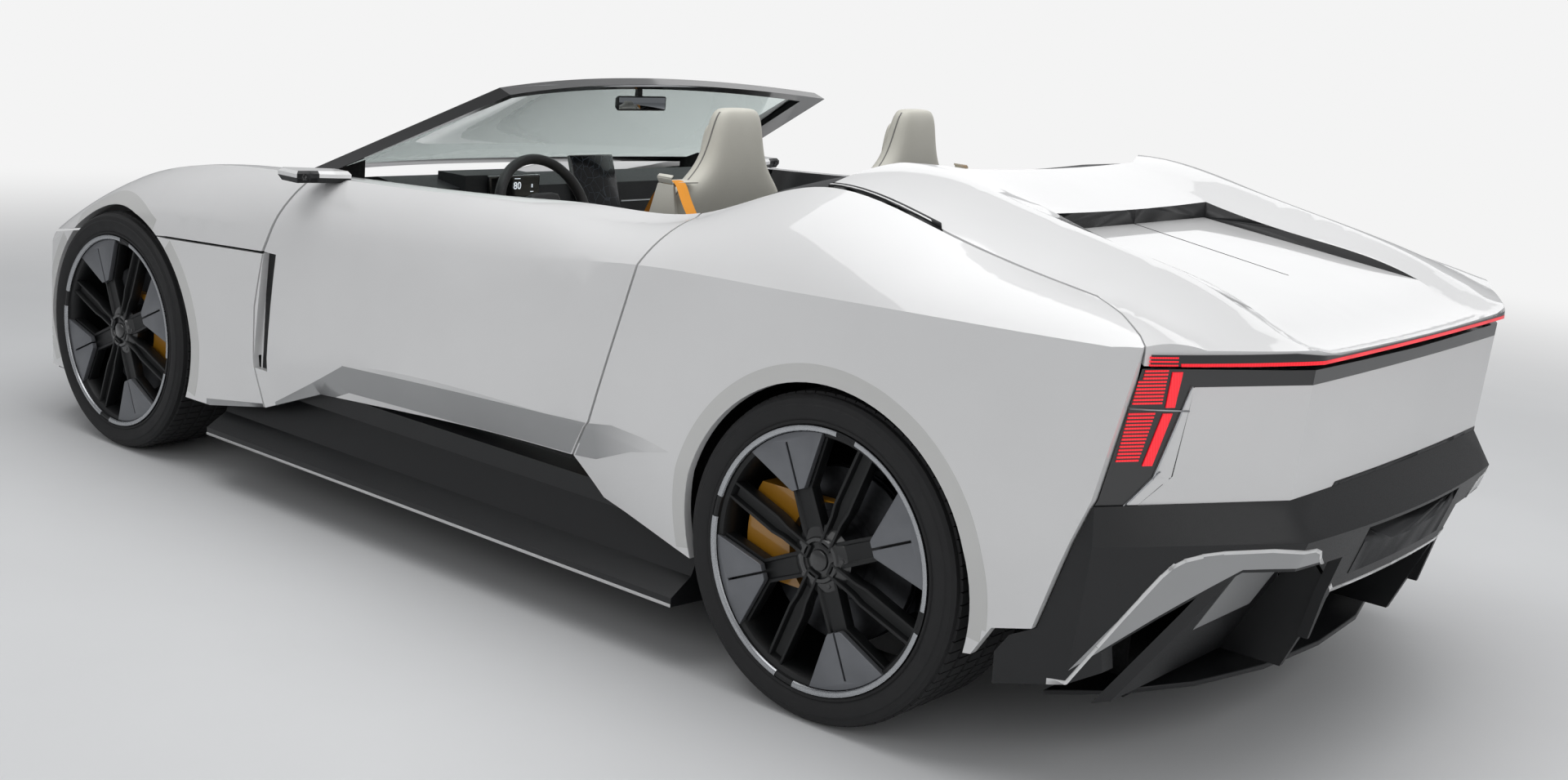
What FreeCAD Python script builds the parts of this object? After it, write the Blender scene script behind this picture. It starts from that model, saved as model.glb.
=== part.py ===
import FreeCAD, Part
import math
import os
from FreeCAD import Vector

# Roadster convertible, full size, millimetres.
# Frame: +X forward, +Y to the car's left, +Z up. The origin is on the ground
# under the middle of the overall length and width.

# Driving dimensions
WHEELBASE = 2767.0
FRONT_OVERHANG = 799.0
REAR_OVERHANG = 925.0
TYRE_RADIUS = 365.0
RIM_RADIUS = 295.0
TYRE_WIDTH_FRONT = 265.0
TYRE_WIDTH_REAR = 300.0
WHEEL_FACE_Y = 985.0
HUB_RADIUS = 78.0
WHEEL_TURN = 24.0
DISC_RADIUS = 195.0
DISC_THICKNESS = 30.0
DISC_DEPTH = 110.0
SPINDLE_RADIUS = 30.0
KINGPIN_Y = 772.0
KINGPIN_RADIUS = 16.0
KNUCKLE_HALF_HEIGHT = 150.0
GROUND_CLEARANCE = 110.0
FLOOR_THICKNESS = 40.0
SILL_TOP_Z = 352.0
SKIN = 20.0
SHUT_GAP = 7.0
ARCH_RADIUS = 387.0
DOOR_INNER_Y = 800.0
FLANK_Y = 988.0
BUMPER_TOP_Z = 632.0
TAIL_SET_IN = 52.0
TAIL_CORNER_Y = 535.0
LAMP_INNER_Y = 790.0
LAMP_TOP_Z = 915.0
BAR_LOW_Z = 872.0
HEADER_Z = 1250.0
STEERING_WHEEL_RADIUS = 178.0
COLUMN_ANGLE = 22.0
SEAT_Y = 392.0
SEAT_TOP_Z = 1244.0
BATTERY_HEIGHT = 120.0
CARPET = 20.0
TRAY = 15.0
WALL = 20.0
FRONT_BOX_Y = 460.0
REAR_BOX_Y = 590.0
FIT = 0.3
RUNNING_FIT = 0.06
OPENING_FIT = 6.0

LENGTH = FRONT_OVERHANG + WHEELBASE + REAR_OVERHANG
NOSE_X = LENGTH / 2
TAIL_X = -LENGTH / 2
FRONT_AXLE_X = NOSE_X - FRONT_OVERHANG
REAR_AXLE_X = TAIL_X + REAR_OVERHANG
TAIL_EDGE_X = TAIL_X + TAIL_SET_IN
FLOOR_TOP_Z = GROUND_CLEARANCE + FLOOR_THICKNESS
FLOOR_HALF_WIDTH = DOOR_INNER_Y
CARPET_TOP_Z = FLOOR_TOP_Z + BATTERY_HEIGHT + CARPET
SIDE = FLANK_Y + 112.0
ROOF = HEADER_Z + 250.0


def fore(dx):
    # Place along the car, measured from the front axle.
    return FRONT_AXLE_X + dx


def aft(dx):
    # Place along the car, measured from the rear axle.
    return REAR_AXLE_X + dx


# Body sections, from nose to tail. Each row: station x, then y and z of the
# bottom edge, the side bevel, the shoulder crease, the crown or shut line,
# the valley or fairing ridge and its inner foot, last the centre line height.
SECTIONS = [
    (NOSE_X, 890, 175, 915, 330, 890, 450, 730, 540, 560, 545, 420, 535, 540),
    (fore(513), 940, 175, 960, 330, 938, 540, 790, 650, 620, 640, 450, 622, 626),
    (fore(254), 960, 175, 980, 380, 962, 655, 820, 765, 640, 745, 470, 705, 708),
    (FRONT_AXLE_X, 965, 178, 985, 420, 968, 725, 838, 852, 660, 825, 490, 775, 780),
    (fore(-346), 965, 215, 965, 400, 966, 770, 850, 915, 680, 892, 520, 848, 850),
    (fore(-746), 945, 250, 965, 420, 955, 790, 868, 942, 720, 925, 600, 900, 905),
    (fore(-1246), 915, 330, 980, 490, 958, 815, 872, 962, 740, 950, 650, 935, 940),
    (aft(970), 915, 370, 984, 512, 962, 868, 862, 984, 750, 996, 640, 985, 980),
    (aft(570), 940, 310, 986, 500, 974, 915, 820, 1014, 650, 1078, 520, 1068, 1062),
    (aft(190), 968, 240, 988, 460, 982, 928, 800, 1139, 550, 1187, 390, 1186, 1178),
    (aft(-134), 965, 245, 988, 470, 984, 938, 800, 1083, 550, 1141, 369, 1106, 1101),
    (aft(-400), 950, 270, 976, 490, 970, 943, 800, 1027, 550, 1085, 414, 1050, 1044),
    (aft(-660), 925, 330, 945, 520, 938, 947, 800, 975, 550, 1012, 455, 991, 987),
    (TAIL_X + 42, 890, 380, 905, 560, 890, 934, 780, 936, 545, 944, 490, 936, 930),
]


# How far the panels bulge between those edges, and how near the tail it fades
FLANK_BULGE = 4.0
SHOULDER_BULGE = 18.0
CROWN_BULGE = 9.0
BULGE_FADE = 480.0


# Plain shapes used all through the car
def box(x0, x1, y0, y1, z0, z1):
    return Part.makeBox(x1 - x0, y1 - y0, z1 - z0, Vector(x0, y0, z0))


def cylinder_y(radius, y0, y1, x, z):
    return Part.makeCylinder(radius, y1 - y0, Vector(x, y0, z), Vector(0, 1, 0))


def mirrored(shape):
    return shape.mirror(Vector(0, 0, 0), Vector(0, 1, 0))


def pair(shape):
    return Part.makeCompound([shape, mirrored(shape)])


def lowered(shape, drop):
    copy = shape.copy()
    copy.translate(Vector(0, 0, -drop))
    return copy


def fuse_all(shapes):
    return shapes[0].multiFuse(shapes[1:]).removeSplitter()


def closed_face(corners):
    return Part.Face(Part.makePolygon(corners + [corners[0]]))


def side_prism(points, y0, y1):
    # Outline in side view, as x and z pairs, carried across from y0 to y1.
    return closed_face([Vector(x, y0, z) for x, z in points]).extrude(Vector(0, y1 - y0, 0))


def plan_prism(points, z0, z1):
    # Outline seen from above, as x and y pairs, carried up from z0 to z1.
    return closed_face([Vector(x, y, z0) for x, y in points]).extrude(Vector(0, 0, z1 - z0))


def rear_prism(points, x0, x1):
    # Outline seen from behind, as y and z pairs, carried forward from x0 to x1.
    return closed_face([Vector(x0, y, z) for y, z in points]).extrude(Vector(x1 - x0, 0, 0))


def both_sides(points):
    # An outline given for the left half, from the outside in, made whole.
    return points + [(x, -y) for x, y in reversed(points)]


def bulged(start, end, bulge):
    chord = end - start
    normal = Vector(0, chord.z, -chord.y)
    normal.normalize()
    middle = (start + end) * 0.5 + normal * bulge
    return Part.Arc(start, middle, end).toShape()


def body_section(row, inset):
    # One closed wire across the car. The flank bulges a little, the shoulder
    # more, the crown in between, and all of them die out towards the tail.
    x, y_b, z_b, y_k, z_k, y_c, z_c, y_t, z_t, y_v, z_v, y_f, z_f, z_m = row
    fade = min(1.0, (x - TAIL_X) / BULGE_FADE)
    flank, shoulder, crown_bulge = FLANK_BULGE, SHOULDER_BULGE * fade, CROWN_BULGE * fade
    bottom = Vector(x, y_b - inset, z_b + inset)
    bevel = Vector(x, y_k - inset, z_k)
    crease = Vector(x, y_c - inset, z_c - inset / 2)
    crown = Vector(x, y_t - inset / 2, z_t - inset)
    valley = Vector(x, y_v, z_v - inset)
    foot = Vector(x, y_f, z_f - inset)
    centre = Vector(x, 0, z_m - inset)
    left = [bottom, bevel, crease, crown, valley, foot]
    right = [Vector(p.x, -p.y, p.z) for p in left]
    edges = [Part.LineSegment(right[0], left[0]).toShape()]
    edges.append(Part.LineSegment(left[0], left[1]).toShape())
    edges.append(bulged(left[1], left[2], flank))
    edges.append(bulged(left[2], left[3], shoulder))
    edges.append(bulged(left[3], left[4], crown_bulge))
    edges.append(Part.LineSegment(left[4], left[5]).toShape())
    edges.append(Part.Arc(left[5], centre, right[5]).toShape())
    edges.append(Part.LineSegment(right[5], right[4]).toShape())
    edges.append(bulged(right[4], right[3], crown_bulge))
    edges.append(bulged(right[3], right[2], shoulder))
    edges.append(bulged(right[2], right[1], flank))
    edges.append(Part.LineSegment(right[1], right[0]).toShape())
    return Part.Wire(edges)


def body_loft(inset):
    wires = [body_section(row, inset) for row in SECTIONS]
    return Part.makeLoft(wires, True, False)


def plan_outline(inset):
    # Nose and tail as seen from above: arcs through the corners and the centre,
    # with a near straight cut across each corner of the tail.
    nose = NOSE_X - inset
    tail = TAIL_EDGE_X + inset
    shrink = inset * 0.7
    wide = FLANK_Y + 52
    front = [
        Vector(fore(254), wide, 0),
        Vector(fore(314), 1000 - inset, 0),
        Vector(fore(452) - shrink, 928 - shrink, 0),
        Vector(nose - 275, 838 - shrink, 0),
    ]
    rear = [
        Vector(aft(-380), wide, 0),
        Vector(tail + 196, 922 - inset, 0),
        Vector(tail + 98, 743 - shrink, 0),
        Vector(tail + 8, TAIL_CORNER_Y, 0),
    ]
    front_r = [Vector(p.x, -p.y, 0) for p in front]
    rear_r = [Vector(p.x, -p.y, 0) for p in rear]
    edges = [
        Part.LineSegment(rear[0], front[0]).toShape(),
        Part.LineSegment(front[0], front[1]).toShape(),
        Part.Arc(front[1], front[2], front[3]).toShape(),
        Part.Arc(front[3], Vector(nose, 0, 0), front_r[3]).toShape(),
        Part.Arc(front_r[3], front_r[2], front_r[1]).toShape(),
        Part.LineSegment(front_r[1], front_r[0]).toShape(),
        Part.LineSegment(front_r[0], rear_r[0]).toShape(),
        Part.LineSegment(rear_r[0], rear_r[1]).toShape(),
        Part.Arc(rear_r[1], rear_r[2], rear_r[3]).toShape(),
        Part.Arc(rear_r[3], Vector(tail, 0, 0), rear[3]).toShape(),
        Part.Arc(rear[3], rear[2], rear[1]).toShape(),
        Part.LineSegment(rear[1], rear[0]).toShape(),
    ]
    return Part.Face(Part.Wire(edges)).extrude(Vector(0, 0, ROOF))


def save(name, shape):
    shape.exportStep("parts/" + name + ".step")
    solids = len(shape.Solids)
    print(name, "valid" if shape.isValid() else "NOT VALID", solids, "solids", round(shape.Volume / 1e6, 2))


os.makedirs("parts", exist_ok=True)

# Body master: outer form, inner form, the skin between them, and the form that
# carriers under the skin may fill
outer = body_loft(0).common(plan_outline(0))
inner = body_loft(SKIN).common(plan_outline(SKIN))
carrier = body_loft(SKIN + FIT).common(plan_outline(SKIN + FIT))
skin = outer.cut(inner)
for wheel_x in (FRONT_AXLE_X, REAR_AXLE_X):
    skin = skin.cut(cylinder_y(ARCH_RADIUS, -SIDE, SIDE, wheel_x, TYRE_RADIUS))
left_skin = skin.common(box(TAIL_X, NOSE_X, 600, SIDE, 0, ROOF))

# Shut lines in side view, as x and z pairs
DOOR_FRONT = [
    (fore(-832), ROOF), (fore(-832), 926), (fore(-781), 830), (fore(-729), 718),
    (fore(-700), 560), (fore(-700), 387), (fore(-735), 273),
]
DOOR_SILL = [(fore(-995), 365)]
DOOR_REAR = [(aft(777), 420), (aft(697), 523), (aft(620), 780), (aft(553), 1017), (aft(530), ROOF)]
CLAM_LINE = [(fore(-729), 718), (fore(-266), 693), (fore(272), 640), (NOSE_X - 155, 575)]
QUARTER_REAR = [(aft(-524), 361), (aft(-620), 646), (aft(-676), 946)]
DECK_FRONT = [(aft(191), DOOR_INNER_Y), (aft(176), 560), (aft(105), 400)]
DECK_SIDE = [(aft(-500), DOOR_INNER_Y), (aft(-580), 840), (aft(-650), 890), (aft(-685), 925), (aft(-700), SIDE)]
half_gap = SHUT_GAP / 2


def shifted(points, dx, dz):
    return [(x + dx, z + dz) for x, z in points]


# Doors, each a solid as thick as the real one, with the vent pocket behind
# its front edge
door_outline = shifted(DOOR_FRONT, -half_gap, 0) + DOOR_SILL + shifted(DOOR_REAR, half_gap, 0)
door_left = outer.common(side_prism(door_outline, DOOR_INNER_Y, SIDE))
door_left = door_left.cut(box(aft(400), fore(-600), DOOR_INNER_Y - 1, 925, 200, SILL_TOP_Z + 8))
VENT = [(fore(-733), 722), (fore(-790), 722), (fore(-762), 384), (fore(-700), 384)]
vent_depth = 26
vent_room = side_prism(VENT, FLANK_Y - 22 - vent_depth, SIDE)
door_left = door_left.cut(vent_room)
save("door_left", door_left)
save("door_right", mirrored(door_left))

# Bonnet: clamshell down to the line over the front wheels, back to the cowl
bonnet_outline = shifted(CLAM_LINE, half_gap, half_gap)
bonnet_outline[0] = (CLAM_LINE[0][0] + SHUT_GAP, CLAM_LINE[0][1] + half_gap)
bonnet_outline += [(NOSE_X - 155 + half_gap, ROOF)]
bonnet_outline += shifted(DOOR_FRONT[:3], SHUT_GAP, 0)
bonnet = skin.common(side_prism(bonnet_outline, -SIDE, SIDE))
COWL = [(fore(-946), 842), (fore(-711), 842), (fore(-566), 640), (fore(-461), 400), (fore(-411), 0)]
bonnet = bonnet.cut(plan_prism(both_sides(COWL), 700, ROOF))
save("bonnet", bonnet)

# Wing side panels behind the front wheels
wing_outline = shifted(DOOR_FRONT[3:], half_gap, 0)
wing_outline[0] = (CLAM_LINE[0][0] + half_gap, CLAM_LINE[0][1] - half_gap)
wing_outline += [(fore(-483), 229), (fore(-146), 229), (fore(-146), 691 - half_gap)]
wing_outline += [(CLAM_LINE[1][0], CLAM_LINE[1][1] - half_gap)]
wing = left_skin.common(side_prism(wing_outline, 850, SIDE))
wing = wing.cut(box(fore(-850), fore(-46), DOOR_INNER_Y, 930, 150, 400))
save("wing_panels", pair(wing))

# Nose bumper: everything ahead of the wheels under the clamshell line
nose_x = NOSE_X - 155 + SHUT_GAP + half_gap
nose_outline = [(fore(204), 120), (NOSE_X + 10, 120), (NOSE_X + 10, ROOF), (nose_x, ROOF), (nose_x, 575)]
nose_outline += [(NOSE_X - 155, 575 - half_gap), (fore(272), 640 - half_gap), (fore(204), 646 - half_gap)]
nose = skin.common(side_prism(nose_outline, -SIDE, SIDE))
nose = nose.cut(box(fore(-146), fore(434), -935, 935, 100, 600))
nose = nose.cut(box(fore(-146), NOSE_X, -1000, 1000, 100, 175))
nose = nose.cut(box(NOSE_X - 250, NOSE_X + 10, -420, 420, 215, 330))
LAMP_OUTLINE = [(fore(457), 523), (NOSE_X - 5, 473), (NOSE_X - 5, 527), (fore(457), 607)]
lamp_room = side_prism(LAMP_OUTLINE, 503 - FIT, 837 + FIT)
nose = nose.cut(lamp_room).cut(mirrored(lamp_room))
save("nose_bumper", nose)
headlamp = outer.common(side_prism(LAMP_OUTLINE, 503, 837))
headlamp = headlamp.cut(inner.common(box(fore(354), fore(654), 400, 900, 400, 700)))
save("headlamps", pair(headlamp))

# Rear quarters, outboard of the deck's shut line
quarter_outline = shifted(DOOR_REAR, -half_gap, 0)[::-1]
quarter_outline += [(aft(680), 330), (aft(576), 276), (aft(391), 250), (aft(-380), 250), (aft(-437), 339)]
quarter_outline += QUARTER_REAR + [(aft(-690), ROOF)]
outboard = [(aft(900), DOOR_INNER_Y + half_gap)]
outboard += shifted(DECK_SIDE, -half_gap * 0.7, half_gap) + [(aft(900), SIDE + half_gap)]
quarter = left_skin.common(side_prism(quarter_outline, 700, SIDE)).common(plan_prism(outboard, 200, ROOF))
quarter = quarter.cut(box(TAIL_X, aft(720), 700, 930, 150, 480))
save("quarters", pair(quarter))
quarter_room = [(aft(-380), 200), (aft(-470), 330)] + shifted(QUARTER_REAR, -4, 0)
quarter_room += [(aft(-681), ROOF), (aft(-380), ROOF)]
quarter_room = side_prism(quarter_room, DOOR_INNER_Y - 10, SIDE)

# Rear deck lid: two fairings behind the seats and a sunk panel between them
deck_half = [(TAIL_X, SIDE)] + shifted(DECK_SIDE, 0, -half_gap)[::-1]
deck_half += [(DECK_FRONT[0][0], DECK_FRONT[0][1] - half_gap)] + DECK_FRONT[1:]
deck_low = [(aft(200), 1020), (aft(-380), 960), (aft(-680), 918), (TAIL_X, 915), (TAIL_X, ROOF), (aft(200), ROOF)]
deck_room = plan_prism(both_sides(deck_half), 800, ROOF).common(side_prism(deck_low, -SIDE, SIDE))
SUNK_FRONT_X = aft(-134)
SUNK_REAR_X = aft(-755)
SUNK_DEPTH_Z = 1066.0
SUNK_SLOPE = 0.15


def sunk_block(margin, drop):
    # The room over the sunk panel's sloping plane, tapering out towards the tail.
    rear_z = SUNK_DEPTH_Z - drop - SUNK_SLOPE * (SUNK_FRONT_X - SUNK_REAR_X + margin)
    front_z = SUNK_DEPTH_Z - drop + SUNK_SLOPE * margin
    front_x = SUNK_FRONT_X + margin
    rear_x = SUNK_REAR_X - margin
    low = side_prism([(front_x, front_z), (rear_x, rear_z), (rear_x, ROOF), (front_x, ROOF)], -SIDE, SIDE)
    plan = [(front_x, 369 + margin), (rear_x, 470 + margin)]
    return low.common(plan_prism([(x, y) for x, y in plan] + [(x, -y) for x, y in plan[::-1]], 800, ROOF))


# The lid's two hinge arms reach forward and down to pins on the tub
HINGE_X = aft(260)
HINGE_Z = 1060
HINGE_PIN_RADIUS = 8
ARM_Y = 752
ARM_WIDTH = 16
hinge_arm = [
    (HINGE_X + 4, HINGE_Z - 17), (HINGE_X - 140, HINGE_Z + 20), (HINGE_X - 140, HINGE_Z + 100),
    (HINGE_X - 90, HINGE_Z + 90), (HINGE_X - 2, HINGE_Z + 17),
]
lid_arm = side_prism(hinge_arm, ARM_Y, ARM_Y + ARM_WIDTH)
lid_arm = lid_arm.fuse(cylinder_y(18, ARM_Y, ARM_Y + ARM_WIDTH, HINGE_X, HINGE_Z)).common(outer)
pin_bore = cylinder_y(HINGE_PIN_RADIUS + RUNNING_FIT, -SIDE, SIDE, HINGE_X, HINGE_Z)
deck = skin.common(deck_room).fuse(outer.common(deck_room).common(sunk_block(SKIN, SKIN)))
deck = fuse_all([deck.cut(sunk_block(0, 0)), lid_arm, mirrored(lid_arm)]).cut(pin_bore)
save("deck_lid", deck)

# Tonneau panel between the seats and the deck, running under the deck's edge
tonneau_drop = OPENING_FIT
tonneau_thick = 25
tonneau_room = box(aft(60), aft(460), 20 - DOOR_INNER_Y, DOOR_INNER_Y - 20, 900, ROOF)
tonneau = lowered(inner, tonneau_drop).common(tonneau_room).cut(lowered(inner, tonneau_drop + tonneau_thick))
arm_slot = box(aft(60) - 1, HINGE_X + 26, ARM_Y - 10, SIDE, 900, ROOF)
tonneau = tonneau.cut(arm_slot).cut(mirrored(arm_slot))
save("tonneau", tonneau)
tonneau_seat = lowered(inner, tonneau_drop + tonneau_thick + FIT)


# Tail: one leaning form carries the fascia, the lamps and the light bar
def tail_wire(z, centre_x, corner_x, side_x, side_y, inset):
    front_x = aft(-440)
    left = [
        Vector(front_x, side_y + 14 - inset, z),
        Vector(side_x + inset * 0.4, side_y - inset, z),
        Vector(corner_x + inset, TAIL_CORNER_Y - inset * 0.3, z),
    ]
    right = [Vector(p.x, -p.y, z) for p in left]
    centre = Vector(centre_x + inset, 0, z)
    return Part.Wire([
        Part.LineSegment(left[0], left[1]).toShape(),
        Part.LineSegment(left[1], left[2]).toShape(),
        Part.Arc(left[2], centre, right[2]).toShape(),
        Part.LineSegment(right[2], right[1]).toShape(),
        Part.LineSegment(right[1], right[0]).toShape(),
        Part.LineSegment(right[0], left[0]).toShape(),
    ])


def tail_form(inset):
    low = tail_wire(BUMPER_TOP_Z - 20, TAIL_X + 72, TAIL_X + 85, aft(-616), 930, inset)
    high = tail_wire(950, TAIL_EDGE_X + 8, TAIL_EDGE_X + 15, aft(-675), 918, inset)
    return Part.makeLoft([low, high], True, True)


tail_wall = 26
tail_shell = tail_form(0).cut(tail_form(tail_wall)).cut(box(aft(-560), aft(-400), -SIDE, SIDE, 0, ROOF))
lamp_half = [
    (SIDE, BUMPER_TOP_Z + FIT), (LAMP_INNER_Y + 55, BUMPER_TOP_Z + FIT), (LAMP_INNER_Y, BUMPER_TOP_Z + 58),
    (LAMP_INNER_Y, BAR_LOW_Z), (0, BAR_LOW_Z), (0, LAMP_TOP_Z - 17), (600, LAMP_TOP_Z - 12), (SIDE, LAMP_TOP_Z),
]
lamp = tail_shell.common(rear_prism(lamp_half, TAIL_X - 10, aft(-400)))
lamps = lamp.fuse(mirrored(lamp)).removeSplitter().cut(quarter_room).cut(mirrored(quarter_room))
save("tail_lamps", lamps)
panel_half = [
    (0, BUMPER_TOP_Z + FIT), (LAMP_INNER_Y + 55 - FIT, BUMPER_TOP_Z + FIT),
    (LAMP_INNER_Y - FIT, BUMPER_TOP_Z + 58), (LAMP_INNER_Y - FIT, BAR_LOW_Z - FIT), (0, BAR_LOW_Z - FIT),
]
panel = tail_shell.common(rear_prism(panel_half, TAIL_X - 10, aft(-400)))
save("rear_fascia", panel.fuse(mirrored(panel)).removeSplitter())

# Rear bumper: a ledge, the plate recess, two openings and the diffuser blade
BUMPER_ROWS = [
    (205, 105, 118, aft(-590), 920),
    (396, 52, 82, aft(-615), 930),
    (555, 0, 33, aft(-632), 942),
    (BUMPER_TOP_Z, 70, 83, aft(-622), 934),
]


def bumper_form(inset):
    wires = []
    for z, centre, corner, side_x, side_y in BUMPER_ROWS:
        wires.append(tail_wire(z, TAIL_X + centre, TAIL_X + corner, side_x, side_y, inset))
    return Part.makeLoft(wires, True, True)


BODY_END_X = aft(-560)
bumper_wall = 24
bumper = bumper_form(0).cut(bumper_form(bumper_wall).common(box(TAIL_X, NOSE_X, -SIDE, SIDE, 0, BUMPER_TOP_Z - 30)))
bumper = bumper.cut(box(BODY_END_X - FIT, NOSE_X, -FLANK_Y + 120, FLANK_Y - 120, 0, ROOF))
OPENING = [(312, 150), (337, 488), (640, 492), (925, 285), (950, 215), (950, 150)]
opening = rear_prism(OPENING, TAIL_X - 10, aft(-640))
under = box(TAIL_X - 10, BODY_END_X, -312, 312, 150, 400)
bumper = bumper.cut(opening).cut(mirrored(opening)).cut(under)
PLATE_RECESS_Y = 268
bumper = bumper.cut(box(TAIL_X - 10, TAIL_X + 22, -PLATE_RECESS_Y, PLATE_RECESS_Y, 428, 546))
UNDERCUT = [(aft(-380), 200), (aft(-437), 216), (aft(-600), 262), (aft(-650), 286), (TAIL_X, 286), (TAIL_X, 100), (aft(-380), 100)]
bumper = bumper.cut(side_prism(UNDERCUT, -SIDE, SIDE))
BLADE_Y = 880
BLADE_THICKNESS = 22
blade_back = BODY_END_X - FIT
blade_left = Vector(aft(-625), BLADE_Y, FLOOR_TOP_Z)
blade_right = Vector(aft(-625), -BLADE_Y, FLOOR_TOP_Z)
blade_wire = Part.Wire([
    Part.Arc(blade_left, Vector(aft(-805), 0, FLOOR_TOP_Z), blade_right).toShape(),
    Part.LineSegment(blade_right, Vector(blade_back, -BLADE_Y, FLOOR_TOP_Z)).toShape(),
    Part.LineSegment(Vector(blade_back, -BLADE_Y, FLOOR_TOP_Z), Vector(blade_back, BLADE_Y, FLOOR_TOP_Z)).toShape(),
    Part.LineSegment(Vector(blade_back, BLADE_Y, FLOOR_TOP_Z), blade_left).toShape(),
])
blade = Part.Face(blade_wire).extrude(Vector(0, 0, BLADE_THICKNESS))
INNER_PANEL = [(aft(-800), 500), (aft(-778), 500), (aft(-590), FLOOR_TOP_Z + 10), (aft(-612), FLOOR_TOP_Z + 10)]
inner_panel = side_prism(INNER_PANEL, -870, 870).common(bumper_form(bumper_wall - 2))
FIN = [(TAIL_X + 60, 404), (aft(-760), FLOOR_TOP_Z + 10), (aft(-600), FLOOR_TOP_Z + 10), (aft(-780), 500)]
fin = side_prism(FIN, 296, 312).common(bumper_form(4))
bumper = fuse_all([bumper, blade, inner_panel, fin, mirrored(fin)])
bumper = bumper.cut(cylinder_y(ARCH_RADIUS + 20, -SIDE, SIDE, REAR_AXLE_X, TYRE_RADIUS))
bumper = bumper.cut(quarter_room).cut(mirrored(quarter_room))
bumper = max(bumper.Solids, key=lambda solid: solid.Volume)
save("rear_bumper", bumper)

# Sills: a concave flank over a thin skirt lip
sill_in = FLOOR_HALF_WIDTH + FIT
sill_web = sill_in + 0.45 * (FLANK_Y - sill_in)
sill_waist = sill_in + 0.66 * (FLANK_Y - sill_in)
sill_profile = [
    (sill_in, 140), (FLANK_Y, 150), (FLANK_Y, 172), (sill_waist, 212), (sill_web, 300),
    (sill_web, SILL_TOP_Z), (sill_in, SILL_TOP_Z),
]
sill_front_x = fore(-511)
sill_rear_x = aft(395)
sill = rear_prism(sill_profile, sill_rear_x, sill_front_x)
save("sills", pair(sill))

# Front splitter
FRONT_BOX_END_X = fore(424)
splitter_room = box(FRONT_BOX_END_X, NOSE_X, -900, 900, FLOOR_TOP_Z + FIT, 175 - FIT)
save("front_splitter", plan_outline(0).common(splitter_room))


# Windscreen frame and glass
def screen_wires(y_low, y_high, drop, rise, front, back):
    # Two arcs across the car, at the base and at the header, as closed bands.
    base = (Vector(fore(-436), 0, 930), Vector(fore(-798), y_low, 962), -drop)
    header = (Vector(fore(-1241), 0, HEADER_Z), Vector(fore(-1321), y_high, HEADER_Z - 28), rise)
    slope = header[0] - base[0]
    slope.normalize()
    normal = Vector(slope.z, 0, -slope.x)
    wires = []
    for middle, side, along in (base, header):
        across = Vector(middle.x - side.x, 0, middle.z - side.z)
        across.normalize()
        unit = across * (1 / across.dot(normal))
        m = middle + slope * along
        s = side + slope * along
        s_right = Vector(s.x, -s.y, s.z)
        up = unit * front
        down = unit * -back
        wires.append(Part.Wire([
            Part.Arc(s + up, m + up, s_right + up).toShape(),
            Part.LineSegment(s_right + up, s_right + down).toShape(),
            Part.Arc(s_right + down, m + down, s + down).toShape(),
            Part.LineSegment(s + down, s + up).toShape(),
        ]))
    return wires


SCREEN_LOW_Y = 832
SCREEN_HIGH_Y = 668
PILLAR = 56
FRAME_DEPTH = 26


def screen_band(narrower, drop, rise, front, back):
    wires = screen_wires(SCREEN_LOW_Y - narrower, SCREEN_HIGH_Y - narrower, drop, rise, front, back)
    return Part.makeLoft(wires, True, True)


frame_solid = screen_band(0, 45, 38, 4, FRAME_DEPTH)
save("windscreen_frame", frame_solid.cut(screen_band(PILLAR, -18, -8, 30, 50)))
save("windscreen_glass", screen_band(PILLAR + FIT, -18 - FIT, -8 - FIT, 2, 3))
frame_room = screen_band(-FIT, 45 + FIT, 38 + FIT, 90, FRAME_DEPTH + FIT)

# Floor tub: floor, firewall, bulkhead, posts, arch liners and the two end boxes
CABIN_FRONT_X = fore(-461)
FIREWALL_X = fore(-426)
CABIN_REAR_X = aft(455)
BULKHEAD_X = aft(420)
BOX_SIDE_TOP_Z = 785
REAR_SHELF_Z = 800
arch_clear = ARCH_RADIUS + 5
overlap = 5
tub = [
    box(sill_rear_x, sill_front_x, -FLOOR_HALF_WIDTH, FLOOR_HALF_WIDTH, GROUND_CLEARANCE, FLOOR_TOP_Z),
    box(sill_front_x, FIREWALL_X, -FRONT_BOX_Y, FRONT_BOX_Y, GROUND_CLEARANCE, FLOOR_TOP_Z),
    box(aft(320), sill_rear_x, -REAR_BOX_Y, REAR_BOX_Y, GROUND_CLEARANCE, FLOOR_TOP_Z),
    box(FIREWALL_X, FRONT_BOX_END_X + 230, -FRONT_BOX_Y, FRONT_BOX_Y, FLOOR_TOP_Z - TRAY, FLOOR_TOP_Z),
    box(BODY_END_X, aft(320), -REAR_BOX_Y, REAR_BOX_Y, FLOOR_TOP_Z - TRAY, FLOOR_TOP_Z + 25),
    box(BODY_END_X, BODY_END_X + WALL, -REAR_BOX_Y, REAR_BOX_Y, FLOOR_TOP_Z, BUMPER_TOP_Z + 60),
    box(CABIN_FRONT_X, FIREWALL_X, -780, 780, SILL_TOP_Z + FIT, 700),
    box(CABIN_FRONT_X, FIREWALL_X, -FRONT_BOX_Y, FRONT_BOX_Y, FLOOR_TOP_Z - overlap, 700),
    carrier.common(box(CABIN_FRONT_X, FIREWALL_X, -780, 780, 690, 1000)),
    tonneau_seat.common(box(BULKHEAD_X, CABIN_REAR_X, -780, 780, FLOOR_TOP_Z - overlap, ROOF)),
]
posts = []
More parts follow.
